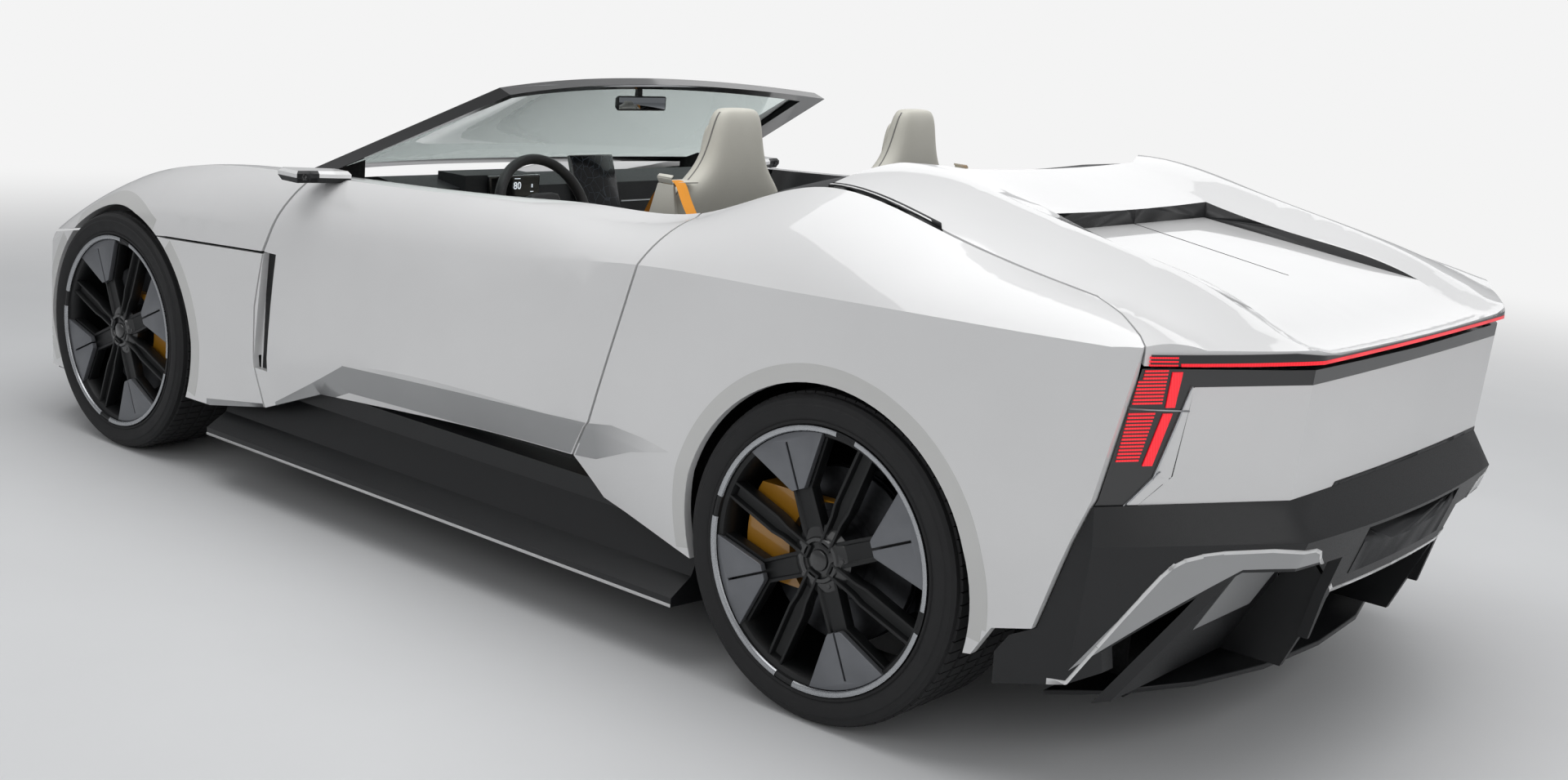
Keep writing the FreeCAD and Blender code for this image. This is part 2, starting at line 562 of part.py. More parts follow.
for wall in (
    box(FIREWALL_X, FRONT_BOX_END_X - FIT, FRONT_BOX_Y - WALL, FRONT_BOX_Y, FLOOR_TOP_Z - overlap, 300),
    carrier.common(box(FIREWALL_X, FRONT_BOX_END_X - FIT, FRONT_BOX_Y - WALL, FRONT_BOX_Y, 290, BOX_SIDE_TOP_Z)),
    carrier.common(box(fore(-351), fore(344), FRONT_BOX_Y - WALL, 760, BOX_SIDE_TOP_Z - 15, BOX_SIDE_TOP_Z)),
    carrier.common(box(fore(-351), fore(344), 740, 760, BOX_SIDE_TOP_Z - 15, 1000)),
    carrier.common(box(fore(-671), fore(-491), 730, 1000, SILL_TOP_Z + FIT, 690)),
    box(BODY_END_X, BULKHEAD_X, REAR_BOX_Y - WALL, REAR_BOX_Y, FLOOR_TOP_Z, REAR_SHELF_Z),
    box(aft(-530), BULKHEAD_X, REAR_BOX_Y - WALL, 780, REAR_SHELF_Z - WALL, REAR_SHELF_Z),
    carrier.common(box(aft(-530), aft(60), 765, 780, REAR_SHELF_Z - WALL, 960)),
    box(CABIN_REAR_X, aft(760), 735, DOOR_INNER_Y - FIT, FLOOR_TOP_Z - overlap, 860),
    carrier.common(box(BULKHEAD_X, CABIN_REAR_X, 700, SIDE, 480, 860)),
    box(fore(-836), fore(-756), 700, 780, FLOOR_TOP_Z - overlap, 1000),
    box(fore(-796), CABIN_FRONT_X + overlap, 700, 780, 640, 700),
    box(HINGE_X - 15, HINGE_X + 15, ARM_Y + ARM_WIDTH + 7, DOOR_INNER_Y - FIT, REAR_SHELF_Z - WALL, HINGE_Z + 12),
    cylinder_y(HINGE_PIN_RADIUS, ARM_Y - 4, ARM_Y + ARM_WIDTH + 10, HINGE_X, HINGE_Z),
):
    tub += [wall, mirrored(wall)]

# Jacking pads under the floor: a flat seat for a jack or a stand
PAD = 90
PAD_DROP = 8
PAD_Y = 640
PAD_FRONT_X = fore(-640)
PAD_REAR_X = aft(600)
for pad_x in (PAD_FRONT_X, PAD_REAR_X):
    pad = box(pad_x - PAD / 2, pad_x + PAD / 2, PAD_Y - PAD / 2, PAD_Y + PAD / 2, GROUND_CLEARANCE - PAD_DROP, GROUND_CLEARANCE + overlap)
    tub += [pad, mirrored(pad)]
floor_tub = fuse_all(tub)
floor_tub = floor_tub.cut(cylinder_y(30, -700, 700, REAR_AXLE_X, TYRE_RADIUS)).cut(frame_room)
floor_tub = max(floor_tub.Solids, key=lambda solid: solid.Volume)
save("floor_tub", floor_tub)
save("battery_block", box(aft(700), fore(-666), -620, 620, FLOOR_TOP_Z, FLOOR_TOP_Z + BATTERY_HEIGHT))
carpet_z = CARPET_TOP_Z - CARPET
cabin = [
    box(CABIN_REAR_X + overlap, CABIN_FRONT_X - overlap, -740, 740, carpet_z, CARPET_TOP_Z),
    box(CABIN_REAR_X + overlap, aft(720), -740, 740, CARPET_TOP_Z - 1, 520),
]
save("cabin_floor", fuse_all(cabin).cut(floor_tub))
console_profile = [
    (aft(720), CARPET_TOP_Z), (aft(720), 600), (aft(900), 640), (fore(-1160), 610), (fore(-1066), 660),
    (fore(-1048), 640), (fore(-1048), CARPET_TOP_Z),
]
save("console", side_prism(console_profile, -110, 110))


# Wheels: tyre, rim and disc, built for the left side with the face outwards
def revolve_about_axle(points, x):
    corners = [Vector(x, y, TYRE_RADIUS + r) for r, y in points]
    return closed_face(corners).revolve(Vector(x, 0, TYRE_RADIUS), Vector(0, 1, 0), 360)


BARREL_RADIUS = RIM_RADIUS - 12
FLANGE_Y = WHEEL_FACE_Y - 11


def tyre(x, width):
    face_y = WHEEL_FACE_Y - 3
    inner_y = face_y - width
    seat = BARREL_RADIUS + FIT
    shoulder = TYRE_RADIUS - 8
    wall = TYRE_RADIUS - 28
    profile = [
        (seat, FLANGE_Y - FIT), (RIM_RADIUS + FIT, FLANGE_Y - FIT), (RIM_RADIUS + FIT + 2, face_y),
        (wall, face_y + 2), (shoulder, face_y - 8), (TYRE_RADIUS, face_y - 26),
        (TYRE_RADIUS, inner_y + 26), (shoulder, inner_y + 8), (wall, inner_y - 2),
        (RIM_RADIUS + 10, inner_y), (seat, inner_y + 8),
    ]
    return revolve_about_axle(profile, x)


def spoke_box(x, r0, r1, half_width, y0, y1, angle):
    bar = box(x + r0, x + r1, y0, y1, TYRE_RADIUS - half_width, TYRE_RADIUS + half_width)
    bar.rotate(Vector(x, 0, TYRE_RADIUS), Vector(0, 1, 0), angle)
    return bar


def wedge(x, r0, r1, inner_half, outer_half, y0, y1, angle):
    points = [
        Vector(x + r0, y0, TYRE_RADIUS - inner_half),
        Vector(x + r1 - 22, y0, TYRE_RADIUS - outer_half),
        Vector(x + r1, y0, TYRE_RADIUS),
        Vector(x + r1 - 22, y0, TYRE_RADIUS + outer_half),
        Vector(x + r0, y0, TYRE_RADIUS + inner_half),
    ]
    blade = closed_face(points).extrude(Vector(0, y1 - y0, 0))
    blade.rotate(Vector(x, 0, TYRE_RADIUS), Vector(0, 1, 0), angle)
    return blade


DISC_OUT_Y = WHEEL_FACE_Y - DISC_DEPTH + DISC_THICKNESS / 2
DISC_IN_Y = DISC_OUT_Y - DISC_THICKNESS
HAT = 20


def rim(x, width):
    # Four broad slotted wedges on arms, and four pairs of thin bars between.
    face_y = WHEEL_FACE_Y
    inner_y = face_y - 3 - width
    profile = [
        (BARREL_RADIUS - 14, inner_y), (BARREL_RADIUS, inner_y), (BARREL_RADIUS, FLANGE_Y),
        (RIM_RADIUS, FLANGE_Y), (RIM_RADIUS, face_y - 1), (RIM_RADIUS - 22, face_y - 1),
        (BARREL_RADIUS - 14, face_y - 14),
    ]
    pieces = [revolve_about_axle(profile, x)]
    pieces.append(cylinder_y(HUB_RADIUS, DISC_OUT_Y + HAT, face_y - 22, x, TYRE_RADIUS))
    slots = []
    for quarter_turn in range(4):
        angle = quarter_turn * 90 + WHEEL_TURN
        pieces.append(wedge(x, 150, BARREL_RADIUS - 2, 22, 107, face_y - 26, face_y - 8, angle))
        pieces.append(spoke_box(x, 40, 170, 26, face_y - 46, face_y - 24, angle))
        slots.append(spoke_box(x, 175, BARREL_RADIUS - 22, 2.5, face_y - 14, face_y, angle))
        for offset in (-14, 14):
            bar = spoke_box(x, 40, RIM_RADIUS - 16, 6, face_y - 40, face_y - 16, angle + 45)
            turn = FreeCAD.Rotation(Vector(0, 1, 0), angle + 45)
            bar.translate(turn.multVec(Vector(0, 0, offset)))
            pieces.append(bar)
    return fuse_all(pieces).cut(Part.makeCompound(slots))


def brake_disc(x):
    plate = cylinder_y(DISC_RADIUS, DISC_IN_Y, DISC_OUT_Y, x, TYRE_RADIUS)
    hat = cylinder_y(HUB_RADIUS, DISC_OUT_Y, DISC_OUT_Y + HAT, x, TYRE_RADIUS)
    bore = cylinder_y(SPINDLE_RADIUS + RUNNING_FIT, DISC_IN_Y - 1, DISC_OUT_Y + HAT + 1, x, TYRE_RADIUS)
    return plate.fuse(hat).cut(bore).removeSplitter()


def upright(x, caliper_side):
    z = TYRE_RADIUS
    h = KNUCKLE_HALF_HEIGHT
    block = box(x - 45, x + 45, KINGPIN_Y - 28, KINGPIN_Y + 28, z - h, z + h)
    spindle = cylinder_y(SPINDLE_RADIUS, KINGPIN_Y, DISC_OUT_Y + HAT - 1, x, z)
    ear_x = x + caliper_side * 215
    ear = box(min(x, ear_x), max(x, ear_x), KINGPIN_Y + 2, KINGPIN_Y + 28, z - 40, z + 60)
    return fuse_all([block, spindle, ear])


def caliper(x, caliper_side):
    y_in = KINGPIN_Y + 28
    y_out = DISC_OUT_Y + 30
    body = cylinder_y(240, y_in, y_out, x, TYRE_RADIUS).cut(cylinder_y(118, y_in, y_out, x, TYRE_RADIUS))
    body = body.cut(cylinder_y(DISC_RADIUS + 8, DISC_IN_Y - 6, DISC_OUT_Y + 6, x, TYRE_RADIUS))
    ends = (x, x + caliper_side * 250)
    return body.common(box(min(ends), max(ends), y_in, y_out, TYRE_RADIUS - 95, TYRE_RADIUS + 120))


for name, x, width in (("front", FRONT_AXLE_X, TYRE_WIDTH_FRONT), ("rear", REAR_AXLE_X, TYRE_WIDTH_REAR)):
    for kind, shape in (("tyre", tyre(x, width)), ("rim", rim(x, width)), ("disc", brake_disc(x))):
        save(kind + "_" + name + "_left", shape)
        save(kind + "_" + name + "_right", mirrored(shape))

# Steering knuckles turn on kingpins that run in the suspension arms
ARM_LOW = 30
ARM_HIGH = 24


def kingpin(radius):
    # Pins at the top and bottom of the knuckle, on the steering axis.
    reach = KNUCKLE_HALF_HEIGHT + 0.8 * ARM_HIGH
    start = Vector(FRONT_AXLE_X, KINGPIN_Y, TYRE_RADIUS - reach)
    return Part.makeCylinder(radius, 2 * reach, start, Vector(0, 0, 1))


knuckle = upright(FRONT_AXLE_X, -1).fuse(kingpin(KINGPIN_RADIUS)).removeSplitter()
save("knuckle_left", knuckle)
save("knuckle_right", mirrored(knuckle))
front_caliper = caliper(FRONT_AXLE_X, -1)
save("caliper_front_left", front_caliper)
save("caliper_front_right", mirrored(front_caliper))
save("calipers_rear", pair(caliper(REAR_AXLE_X, 1)))


def arms(x, inner_y, gap):
    z = TYRE_RADIUS
    h = KNUCKLE_HALF_HEIGHT + gap
    mount_y = KINGPIN_Y + 20
    lower = box(x - 35, x + 35, inner_y, mount_y, z - h - ARM_LOW, z - h)
    upper = box(x - 25, x + 25, inner_y, mount_y, z + h, z + h + ARM_HIGH)
    tower = box(x - 60, x + 60, inner_y - 40, inner_y, z - h - ARM_LOW, z + h + ARM_HIGH)
    return [lower, upper, tower]


front_left = fuse_all(arms(FRONT_AXLE_X, FRONT_BOX_Y + 40, FIT)).cut(kingpin(KINGPIN_RADIUS + RUNNING_FIT))
save("front_suspension", pair(front_left))
shaft = cylinder_y(22, 210 + FIT, KINGPIN_Y, REAR_AXLE_X, TYRE_RADIUS)
rear_left = fuse_all(arms(REAR_AXLE_X, REAR_BOX_Y + 40, 0) + [upright(REAR_AXLE_X, 1), shaft])
save("rear_suspension", pair(rear_left))
drive_unit = cylinder_y(150, -210, 210, REAR_AXLE_X, TYRE_RADIUS)
foot = box(aft(-110), aft(110), -160, 160, FLOOR_TOP_Z + 25, TYRE_RADIUS - 80)
save("drive_unit", drive_unit.fuse(foot).removeSplitter())

# Dashboard, screens and steering
dash_front_x = CABIN_FRONT_X - FIT
dash_profile = [
    (fore(-1046), 640), (fore(-1061), 800), (fore(-1026), 925), (fore(-886), 945),
    (fore(-596), 900), (dash_front_x, 840), (dash_front_x, 640),
]
dashboard = side_prism(dash_profile, -695, 695)
slope = math.radians(COLUMN_ANGLE)
axis = Vector(math.cos(slope), 0, -math.sin(slope))
wheel_centre = Vector(fore(-1236.5), 375, 872)
column = Part.makeCylinder(24, 260, wheel_centre + axis * 40, axis)
hood = side_prism([(fore(-1052), 890), (fore(-1044), 962), (fore(-926), 962), (fore(-926), 890)], 240, 510)
split_x = fore(-746)
under_bonnet = dashboard.common(box(split_x, FRONT_AXLE_X, -800, 800, 500, 1100)).common(lowered(inner, 8))
behind = dashboard.common(box(fore(-1146), split_x, -800, 800, 500, 1100))
dashboard = fuse_all([behind, under_bonnet, column, hood]).cut(frame_room)
save("dashboard", dashboard)
ring_tube = 15
steering_ring = Part.makeTorus(STEERING_WHEEL_RADIUS - ring_tube, ring_tube, wheel_centre, axis)
steering_hub = Part.makeCylinder(48, 43 - FIT, wheel_centre - axis * 3, axis)
spoke_reach = STEERING_WHEEL_RADIUS - 18
spoke = box(-spoke_reach, spoke_reach, -17, 17, 0, 14)
spoke.rotate(Vector(0, 0, 0), Vector(0, 0, 1), 90)
spoke.rotate(Vector(0, 0, 0), Vector(0, 1, 0), 90 + COLUMN_ANGLE)
spoke.translate(wheel_centre)
save("steering_wheel", fuse_all([steering_ring, steering_hub, spoke]))
screen = box(-7, 7, -92, 92, -118, 118).fuse(box(0, 70, -30, 30, -105, -55))
screen.rotate(Vector(0, 0, 0), Vector(0, 1, 0), 18)
screen.translate(Vector(fore(-1050), -10, 898))
screen = screen.cut(dashboard)
save("centre_screen", max(screen.Solids, key=lambda solid: solid.Volume))

# Seats: bolstered cushion, and a back whose shoulders run up to the headrest
CUSHION = [(aft(1010), CARPET_TOP_Z + FIT), (aft(985), 430), (aft(1020), 470), (aft(1440), 512), (aft(1480), 470), (aft(1470), CARPET_TOP_Z + FIT)]
BACK_ROWS = [
    (aft(1020), 430, 225, 130), (aft(965), 700, 240, 125), (aft(905), 960, 232, 110), (aft(882), 1050, 196, 100),
    (aft(868), 1100, 122, 84), (aft(862), 1135, 94, 70), (aft(852), SEAT_TOP_Z - 30, 84, 58), (aft(848), SEAT_TOP_Z, 66, 40),
]


def seat():
    cushion = side_prism(CUSHION, SEAT_Y - 225, SEAT_Y + 225)
    for side in (-1, 1):
        bolster = side_prism([(aft(1000), 460), (aft(1010), 520), (aft(1380), 548), (aft(1430), 500)], 0, 60)
        bolster.translate(Vector(0, SEAT_Y - 30 + side * 195, 0))
        cushion = cushion.fuse(bolster)
    wires = []
    for x, z, half_width, depth in BACK_ROWS:
        back = half_width * 0.8
        points = [
            Vector(x - depth, SEAT_Y - back, z), Vector(x - depth, SEAT_Y + back, z),
            Vector(x - depth * 0.35, SEAT_Y + half_width, z), Vector(x, SEAT_Y + back, z),
            Vector(x, SEAT_Y - back, z), Vector(x - depth * 0.35, SEAT_Y - half_width, z),
        ]
        wires.append(Part.makePolygon(points + [points[0]]))
    return cushion.fuse(Part.makeLoft(wires, True, True)).removeSplitter()


save("seats", pair(seat()))

# Mirror cameras on the doors
POD_LOW = [(fore(-850), 985), (fore(-868), 1000), (fore(-940), 1001), (fore(-944), 970), (fore(-972), 862), (fore(-912), 862)]
POD_HIGH = [(fore(-842), 990), (fore(-858), 1006), (fore(-946), 1008), (fore(-950), 968), (fore(-988), 862), (fore(-902), 862)]
pod_wires = []
for points, z in ((POD_LOW, 942), (POD_HIGH, 956), (POD_HIGH, 966), (POD_LOW, 974)):
    corners = [Vector(x, y, z) for x, y in points]
    pod_wires.append(Part.makePolygon(corners + [corners[0]]))
pod = Part.makeLoft(pod_wires, True, True).cut(door_left)
pod = max(pod.Solids, key=lambda solid: solid.Volume)
save("mirror_left", pod)
save("mirror_right", mirrored(pod))
mirror_z = HEADER_Z - 85
inner_mirror = box(fore(-1234), fore(-1206), -105, 105, mirror_z, mirror_z + 47)
inner_mirror = inner_mirror.fuse(box(fore(-1226), fore(-1208), -12, 12, mirror_z + 25, HEADER_Z + 50))
inner_mirror = inner_mirror.cut(screen_band(PILLAR, 0, 0, 90, 3 + FIT))
save("rear_view_mirror", max(inner_mirror.Solids, key=lambda solid: solid.Volume))
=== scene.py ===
# %% [markdown]
# # A white roadster around its frame
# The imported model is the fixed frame: body panels, wheels, doors and lids, each
# already in its place. This lesson dresses it. Panels keep their own shape and
# get a finish; tyres, lamps, seats and trim are modelled here in more detail.

# %% Load the frame
import math

import bmesh
import bpy
from mathutils import Matrix, Vector


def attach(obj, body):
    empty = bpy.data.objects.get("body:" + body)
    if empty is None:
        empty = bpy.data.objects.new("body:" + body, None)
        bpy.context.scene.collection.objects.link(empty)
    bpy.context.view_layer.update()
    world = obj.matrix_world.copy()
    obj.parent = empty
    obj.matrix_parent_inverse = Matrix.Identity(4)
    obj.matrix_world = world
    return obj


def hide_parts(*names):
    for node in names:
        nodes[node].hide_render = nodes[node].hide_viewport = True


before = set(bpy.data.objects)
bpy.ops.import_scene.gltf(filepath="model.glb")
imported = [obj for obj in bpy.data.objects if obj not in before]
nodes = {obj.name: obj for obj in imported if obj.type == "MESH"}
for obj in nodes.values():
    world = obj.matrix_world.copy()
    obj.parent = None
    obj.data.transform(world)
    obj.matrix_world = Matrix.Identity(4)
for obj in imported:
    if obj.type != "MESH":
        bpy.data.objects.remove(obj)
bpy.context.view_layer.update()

for panel in nodes.values():
    panel.select_set(False)
print("pieces in the frame:", len(nodes))

# %% [markdown]
# ## Camera
# A photograph is matched by putting the camera where the photographer stood.
# Four wheel ellipses and the mirrored left and right points of the body fix its
# place, its turn, its small tilt and its focal length.

# %% Camera
EYE = Vector((-3.5381, 3.901, 1.5396))
HEADING, DIP, TILT = -0.89521, 0.2118, 0.08242
FOCAL_PIXELS, IMAGE_WIDTH, CENTRE_RISE = 2198.57, 1920, -10.33
look = Vector((math.cos(HEADING) * math.cos(DIP), math.sin(HEADING) * math.cos(DIP), -math.sin(DIP)))
level = look.cross(Vector((0, 0, 1))).normalized()
upward = level.cross(look)
right_hand = level * math.cos(TILT) + upward * math.sin(TILT)
overhead = upward * math.cos(TILT) - level * math.sin(TILT)
lens = bpy.data.cameras.new("camera")
lens.sensor_width = 36
lens.lens = lens.sensor_width * FOCAL_PIXELS / IMAGE_WIDTH
lens.shift_y = CENTRE_RISE / IMAGE_WIDTH
camera = bpy.data.objects.new("camera", lens)
camera.matrix_world = Matrix((right_hand, overhead, -look)).transposed().to_4x4()
camera.location = EYE
bpy.context.scene.collection.objects.link(camera)
bpy.context.scene.camera = camera
print("focal length, mm:", round(lens.lens, 2))

# %% [markdown]
# ## Floor, world and lamps
# A pale floor and a white world let the paint read as white. The wide lamps
# overhead are soft, so that every fold of the body gets its own slow gradient.

# %% Colours and nodes
def hex_colour(code):
    # sRGB hex, as a paint chart gives it, turned to the linear values a shader wants
    parts = [int(code[i:i + 2], 16) / 255 for i in (0, 2, 4)]
    return tuple(c / 12.92 if c <= 0.04045 else ((c + 0.055) / 1.055) ** 2.4 for c in parts) + (1.0,)


def add_node(tree, kind, settings=None, links=None):
    # One node with its settings and the sockets that feed it
    made = tree.nodes.new(kind)
    for key, value in (settings or {}).items():
        if hasattr(made, key):
            setattr(made, key, value)
        else:
            made.inputs[key].default_value = value
    for key, source in (links or {}).items():
        tree.links.new(source, made.inputs[key])
    return made


def finish_named(name, code, **shader):
    # A material with its shader; keywords are the shader's own sockets
    made = bpy.data.materials.new(name)
    made.use_nodes = True
    bsdf = made.node_tree.nodes["Principled BSDF"]
    bsdf.inputs["Base Color"].default_value = hex_colour(code)
    for key, value in shader.items():
        bsdf.inputs[key.replace("_", " ")].default_value = value
    return made, made.node_tree, bsdf


def object_coords(tree):
    return add_node(tree, "ShaderNodeTexCoord").outputs["Object"]


def toned(tree, bsdf, factor, dark, light):
    # Base colour that drifts between two close tones
    mix = add_node(tree, "ShaderNodeMix", {"data_type": "RGBA"}, {0: factor})
    mix.inputs[6].default_value = hex_colour(dark)
    mix.inputs[7].default_value = hex_colour(light)
    tree.links.new(mix.outputs[2], bsdf.inputs["Base Color"])


def straight_rays(tree):
    # 1 for what the camera sees, also through glass, and 0 for rays that light the scene
    rays = add_node(tree, "ShaderNodeLightPath")
    feeds = {0: rays.outputs["Is Camera Ray"], 1: rays.outputs["Is Transmission Ray"]}
    return add_node(tree, "ShaderNodeMath", {"operation": "MAXIMUM"}, feeds).outputs[0]


def painted(piece, finish):
    piece.data.materials.clear()
    piece.data.materials.append(finish)


MM = 0.001
X, Y, Z = range(3)
NOISE, CELLS, WAVE = "ShaderNodeTexNoise", "ShaderNodeTexVoronoi", "ShaderNodeTexWave"
# Each side: its name, its sign along y, and the matrix that brings a left piece there
SIDES = (("left", 1, Matrix.Identity(4)), ("right", -1, Matrix.Scale(-1, 4, (0, 1, 0))))
MIRROR = SIDES[1][2]

# %% Floor and world
world = bpy.data.worlds.new("white room")
bpy.context.scene.world = world
world.use_nodes = True
room = world.node_tree
backdrop = room.nodes["Background"]
backdrop.inputs["Color"].default_value = hex_colour("F2F3F5")
backdrop.inputs["Strength"].default_value = 0.42
seen = add_node(room, "ShaderNodeBackground", {"Color": hex_colour("F4F4F4"), "Strength": 1.0})
feeds = {0: straight_rays(room), 1: backdrop.outputs[0], 2: seen.outputs[0]}
mixed = add_node(room, "ShaderNodeMixShader", None, feeds)
room.links.new(mixed.outputs[0], room.nodes["World Output"].inputs["Surface"])
bpy.context.scene.view_settings.view_transform = "Standard"

bpy.ops.mesh.primitive_plane_add(size=60, location=(0, 0, 0))
floor = bpy.context.object
floor.name = "floor"
floor_grey, floor_tree, floor_bsdf = finish_named("pale_floor", "D9DADB", Roughness=0.55)
floor_place = object_coords(floor_tree)
cloudy = add_node(floor_tree, NOISE, {"Scale": 1.4, "Detail": 6.0}, {"Vector": floor_place})
toned(floor_tree, floor_bsdf, cloudy.outputs[0], "D4D5D6", "DEDFE0")
# Far from the car the floor turns into the backdrop, like the sweep of a studio wall
far = add_node(floor_tree, "ShaderNodeVectorMath", {"operation": "LENGTH"}, {0: floor_place})
CLEAR_RADIUS, WALL_RADIUS = 3.4, 8.5
ramp = {"From Min": CLEAR_RADIUS, "From Max": WALL_RADIUS, "interpolation_type": "SMOOTHSTEP"}
sweep = add_node(floor_tree, "ShaderNodeMapRange", ramp, {"Value": far.outputs["Value"]})
feeds = {0: sweep.outputs[0], 1: straight_rays(floor_tree)}
share = add_node(floor_tree, "ShaderNodeMath", {"operation": "MULTIPLY"}, feeds)
wall = add_node(floor_tree, "ShaderNodeEmission", {"Color": hex_colour("F4F4F4")})
feeds = {0: share.outputs[0], 1: floor_bsdf.outputs[0], 2: wall.outputs[0]}
blend = add_node(floor_tree, "ShaderNodeMixShader", None, feeds)
floor_tree.links.new(blend.outputs[0], floor_tree.nodes["Material Output"].inputs["Surface"])
floor.data.materials.append(floor_grey)

for name, place, size, power in (
    ("overhead", (-0.5, 0.4, 5.2), (7.0, 4.0), 190),
    ("left_side", (-1.6, 5.6, 3.0), (7.0, 2.4), 42),
    ("tail_side", (-6.2, 0.5, 3.2), (3.5, 4.5), 50),
    ("right_side", (1.0, -5.6, 3.2), (7.0, 2.4), 40),
):
    soft = bpy.data.lights.new(name, "AREA")
    soft.shape = "RECTANGLE"
    soft.size, soft.size_y = size
    soft.energy = power
    lamp = bpy.data.objects.new(name, soft)
    lamp.location = place
    lamp.rotation_euler = (Vector((0, 0, 0.5)) - Vector(place)).to_track_quat("-Z", "Y").to_euler()
    bpy.context.scene.collection.objects.link(lamp)

# %% [markdown]
# ## Body paint
# The car is sprayed: a white basecoat under a thick clear lacquer. The
# lacquer gives sharp reflections over a softer base, so the shader has a coat
# over a rougher body. Sprayed lacquer is never quite flat: a very shallow wave,
# a few millimetres across, is what painters call orange peel.

# %% Paint
def bumped(tree, bsdf, height, strength, distance_mm):
    # Height to the shader's normal; the distance is the relief's real depth
    bump = add_node(tree, "ShaderNodeBump", {"Strength": strength, "Distance": distance_mm * MM}, {"Height": height})
    tree.links.new(bump.outputs[0], bsdf.inputs["Normal"])


def rough_between(tree, bsdf, factor, low, high):
    span = add_node(tree, "ShaderNodeMapRange", {"To Min": low, "To Max": high}, {"Value": factor})
    tree.links.new(span.outputs[0], bsdf.inputs["Roughness"])


def pattern(tree, kind, period_mm, **settings):
    # A procedural pattern whose repeat is a real size in millimetres
    made = add_node(tree, kind, {"Scale": 1 / (period_mm * MM), **settings}, {"Vector": object_coords(tree)})
    return made.outputs[0]


def lacquered(name, dark, light, coat=1.0):
    # Sprayed metal: pigment drift 300 mm across, orange peel 6 mm across
    made, tree, bsdf = finish_named(name, light, Roughness=0.38, Coat_Weight=coat, Coat_Roughness=0.04, Coat_IOR=1.5)
    toned(tree, bsdf, pattern(tree, NOISE, 300, Detail=2.0), dark, light)
    bumped(tree, bsdf, pattern(tree, NOISE, 6, Detail=1.0), 0.05, 0.05)
    return made


white_paint = lacquered("pearl_white_paint", "DEDEDE", "E7E7E7")
# A grey that is painted shade on the downward bevels under the doors and wings; it also colours the bumper's inner
# panels
grey_and_shade_paint = lacquered("satin_grey_and_painted_shade", "9A9B9C", "A6A7A8", coat=0.3)

# %% [markdown]
# ## Black mouldings
# Two blacks sit beside the white. Sills and bumper are moulded plastic with a
# fine spark-eroded grain, dull and dark. The screen frame and lamp edges are
# gloss black, sprayed and lacquered.

# %% Blacks
def grained(name, dark, light, grain, drift, rough, relief, **shader):
    # grain: kind, period in mm, detail; drift of the tone: period in mm, detail;
    # rough: lowest and highest roughness; relief: strength, depth in mm
    made, tree, bsdf = finish_named(name, light, **shader)
    kind, period_mm, detail = grain
    fine = pattern(tree, kind, period_mm, **detail)
    toned(tree, bsdf, pattern(tree, NOISE, drift[0], Detail=drift[1]), dark, light)
    rough_between(tree, bsdf, fine, *rough)
    bumped(tree, bsdf, fine, *relief)
    return made


def moulded(name, dark, light, grain_mm, depth_mm, *rough):
    # Grained plastic: the real grain is near 0.8 mm and is drawn coarser to show
    return grained(name, dark, light, (CELLS, grain_mm, {}), (160, 3.0), rough, (0.35, depth_mm), IOR=1.5)


satin_black = moulded("grained_black_plastic", "111214", "17181A", 2.5, 0.15, 0.36, 0.5)
cabin_trim = moulded("grained_dark_trim", "191A1C", "212225", 3.0, 0.25, 0.5, 0.68)
gloss_black = lacquered("gloss_black_lacquer", "08090A", "0D0E10")
underbody_coat = moulded("stone_guard_coating", "0B0B0C", "131314", 9.0, 0.6, 0.75, 0.95)

# %% [markdown]
# ## Metals, rubber, glass and cloth
# Cast wheels are sprayed satin grey, discs are ground bright, calipers are
# gold enamel, arms are raw castings. The tyre is rubber with a dry bloom.

# %% Metals
def cast_metal(name, dark, light, metallic, *rough):
    return grained(name, dark, light, (NOISE, 4, {"Detail": 4.0}), (60, 3.0), rough, (0.15, 0.1), Metallic=metallic)


wheel_grey = cast_metal("satin_cast_wheel", "707276", "7C7E82", 0.6, 0.34, 0.44)
wheel_black = cast_metal("black_cast_wheel", "131415", "1A1B1C", 0.2, 0.38, 0.5)
bright_rim = cast_metal("machined_rim", "A5A7AA", "B7B9BC", 0.95, 0.22, 0.32)
caliper_gold = lacquered("gold_enamel", "A9751C", "BC8523")
raw_casting = cast_metal("sand_cast_metal", "55575A", "6A6C70", 0.8, 0.5, 0.65)
bright_edge = cast_metal("brushed_bright_trim", "B9BBBE", "CACCCE", 0.9, 0.25, 0.35)

disc_steel, disc_tree, disc_bsdf = finish_named("ground_disc_steel", "4C4D50", Metallic=0.9)
grinding = add_node(disc_tree, NOISE, {"Scale": 90.0, "Detail": 3.0}, {"Vector": object_coords(disc_tree)}).outputs[0]
toned(disc_tree, disc_bsdf, grinding, "3A3B3D", "4C4D50")
rough_between(disc_tree, disc_bsdf, grinding, 0.3, 0.5)

tyre_rubber, tyre_tree, tyre_bsdf = finish_named("tyre_rubber", "18181A", IOR=1.52)
bloom = pattern(tyre_tree, NOISE, 45, Detail=5.0)
toned(tyre_tree, tyre_bsdf, bloom, "0F0F10", "18181A")
rough_between(tyre_tree, tyre_bsdf, bloom, 0.62, 0.82)
bumped(tyre_tree, tyre_bsdf, pattern(tyre_tree, NOISE, 1.5, Detail=2.0), 0.3, 0.2)

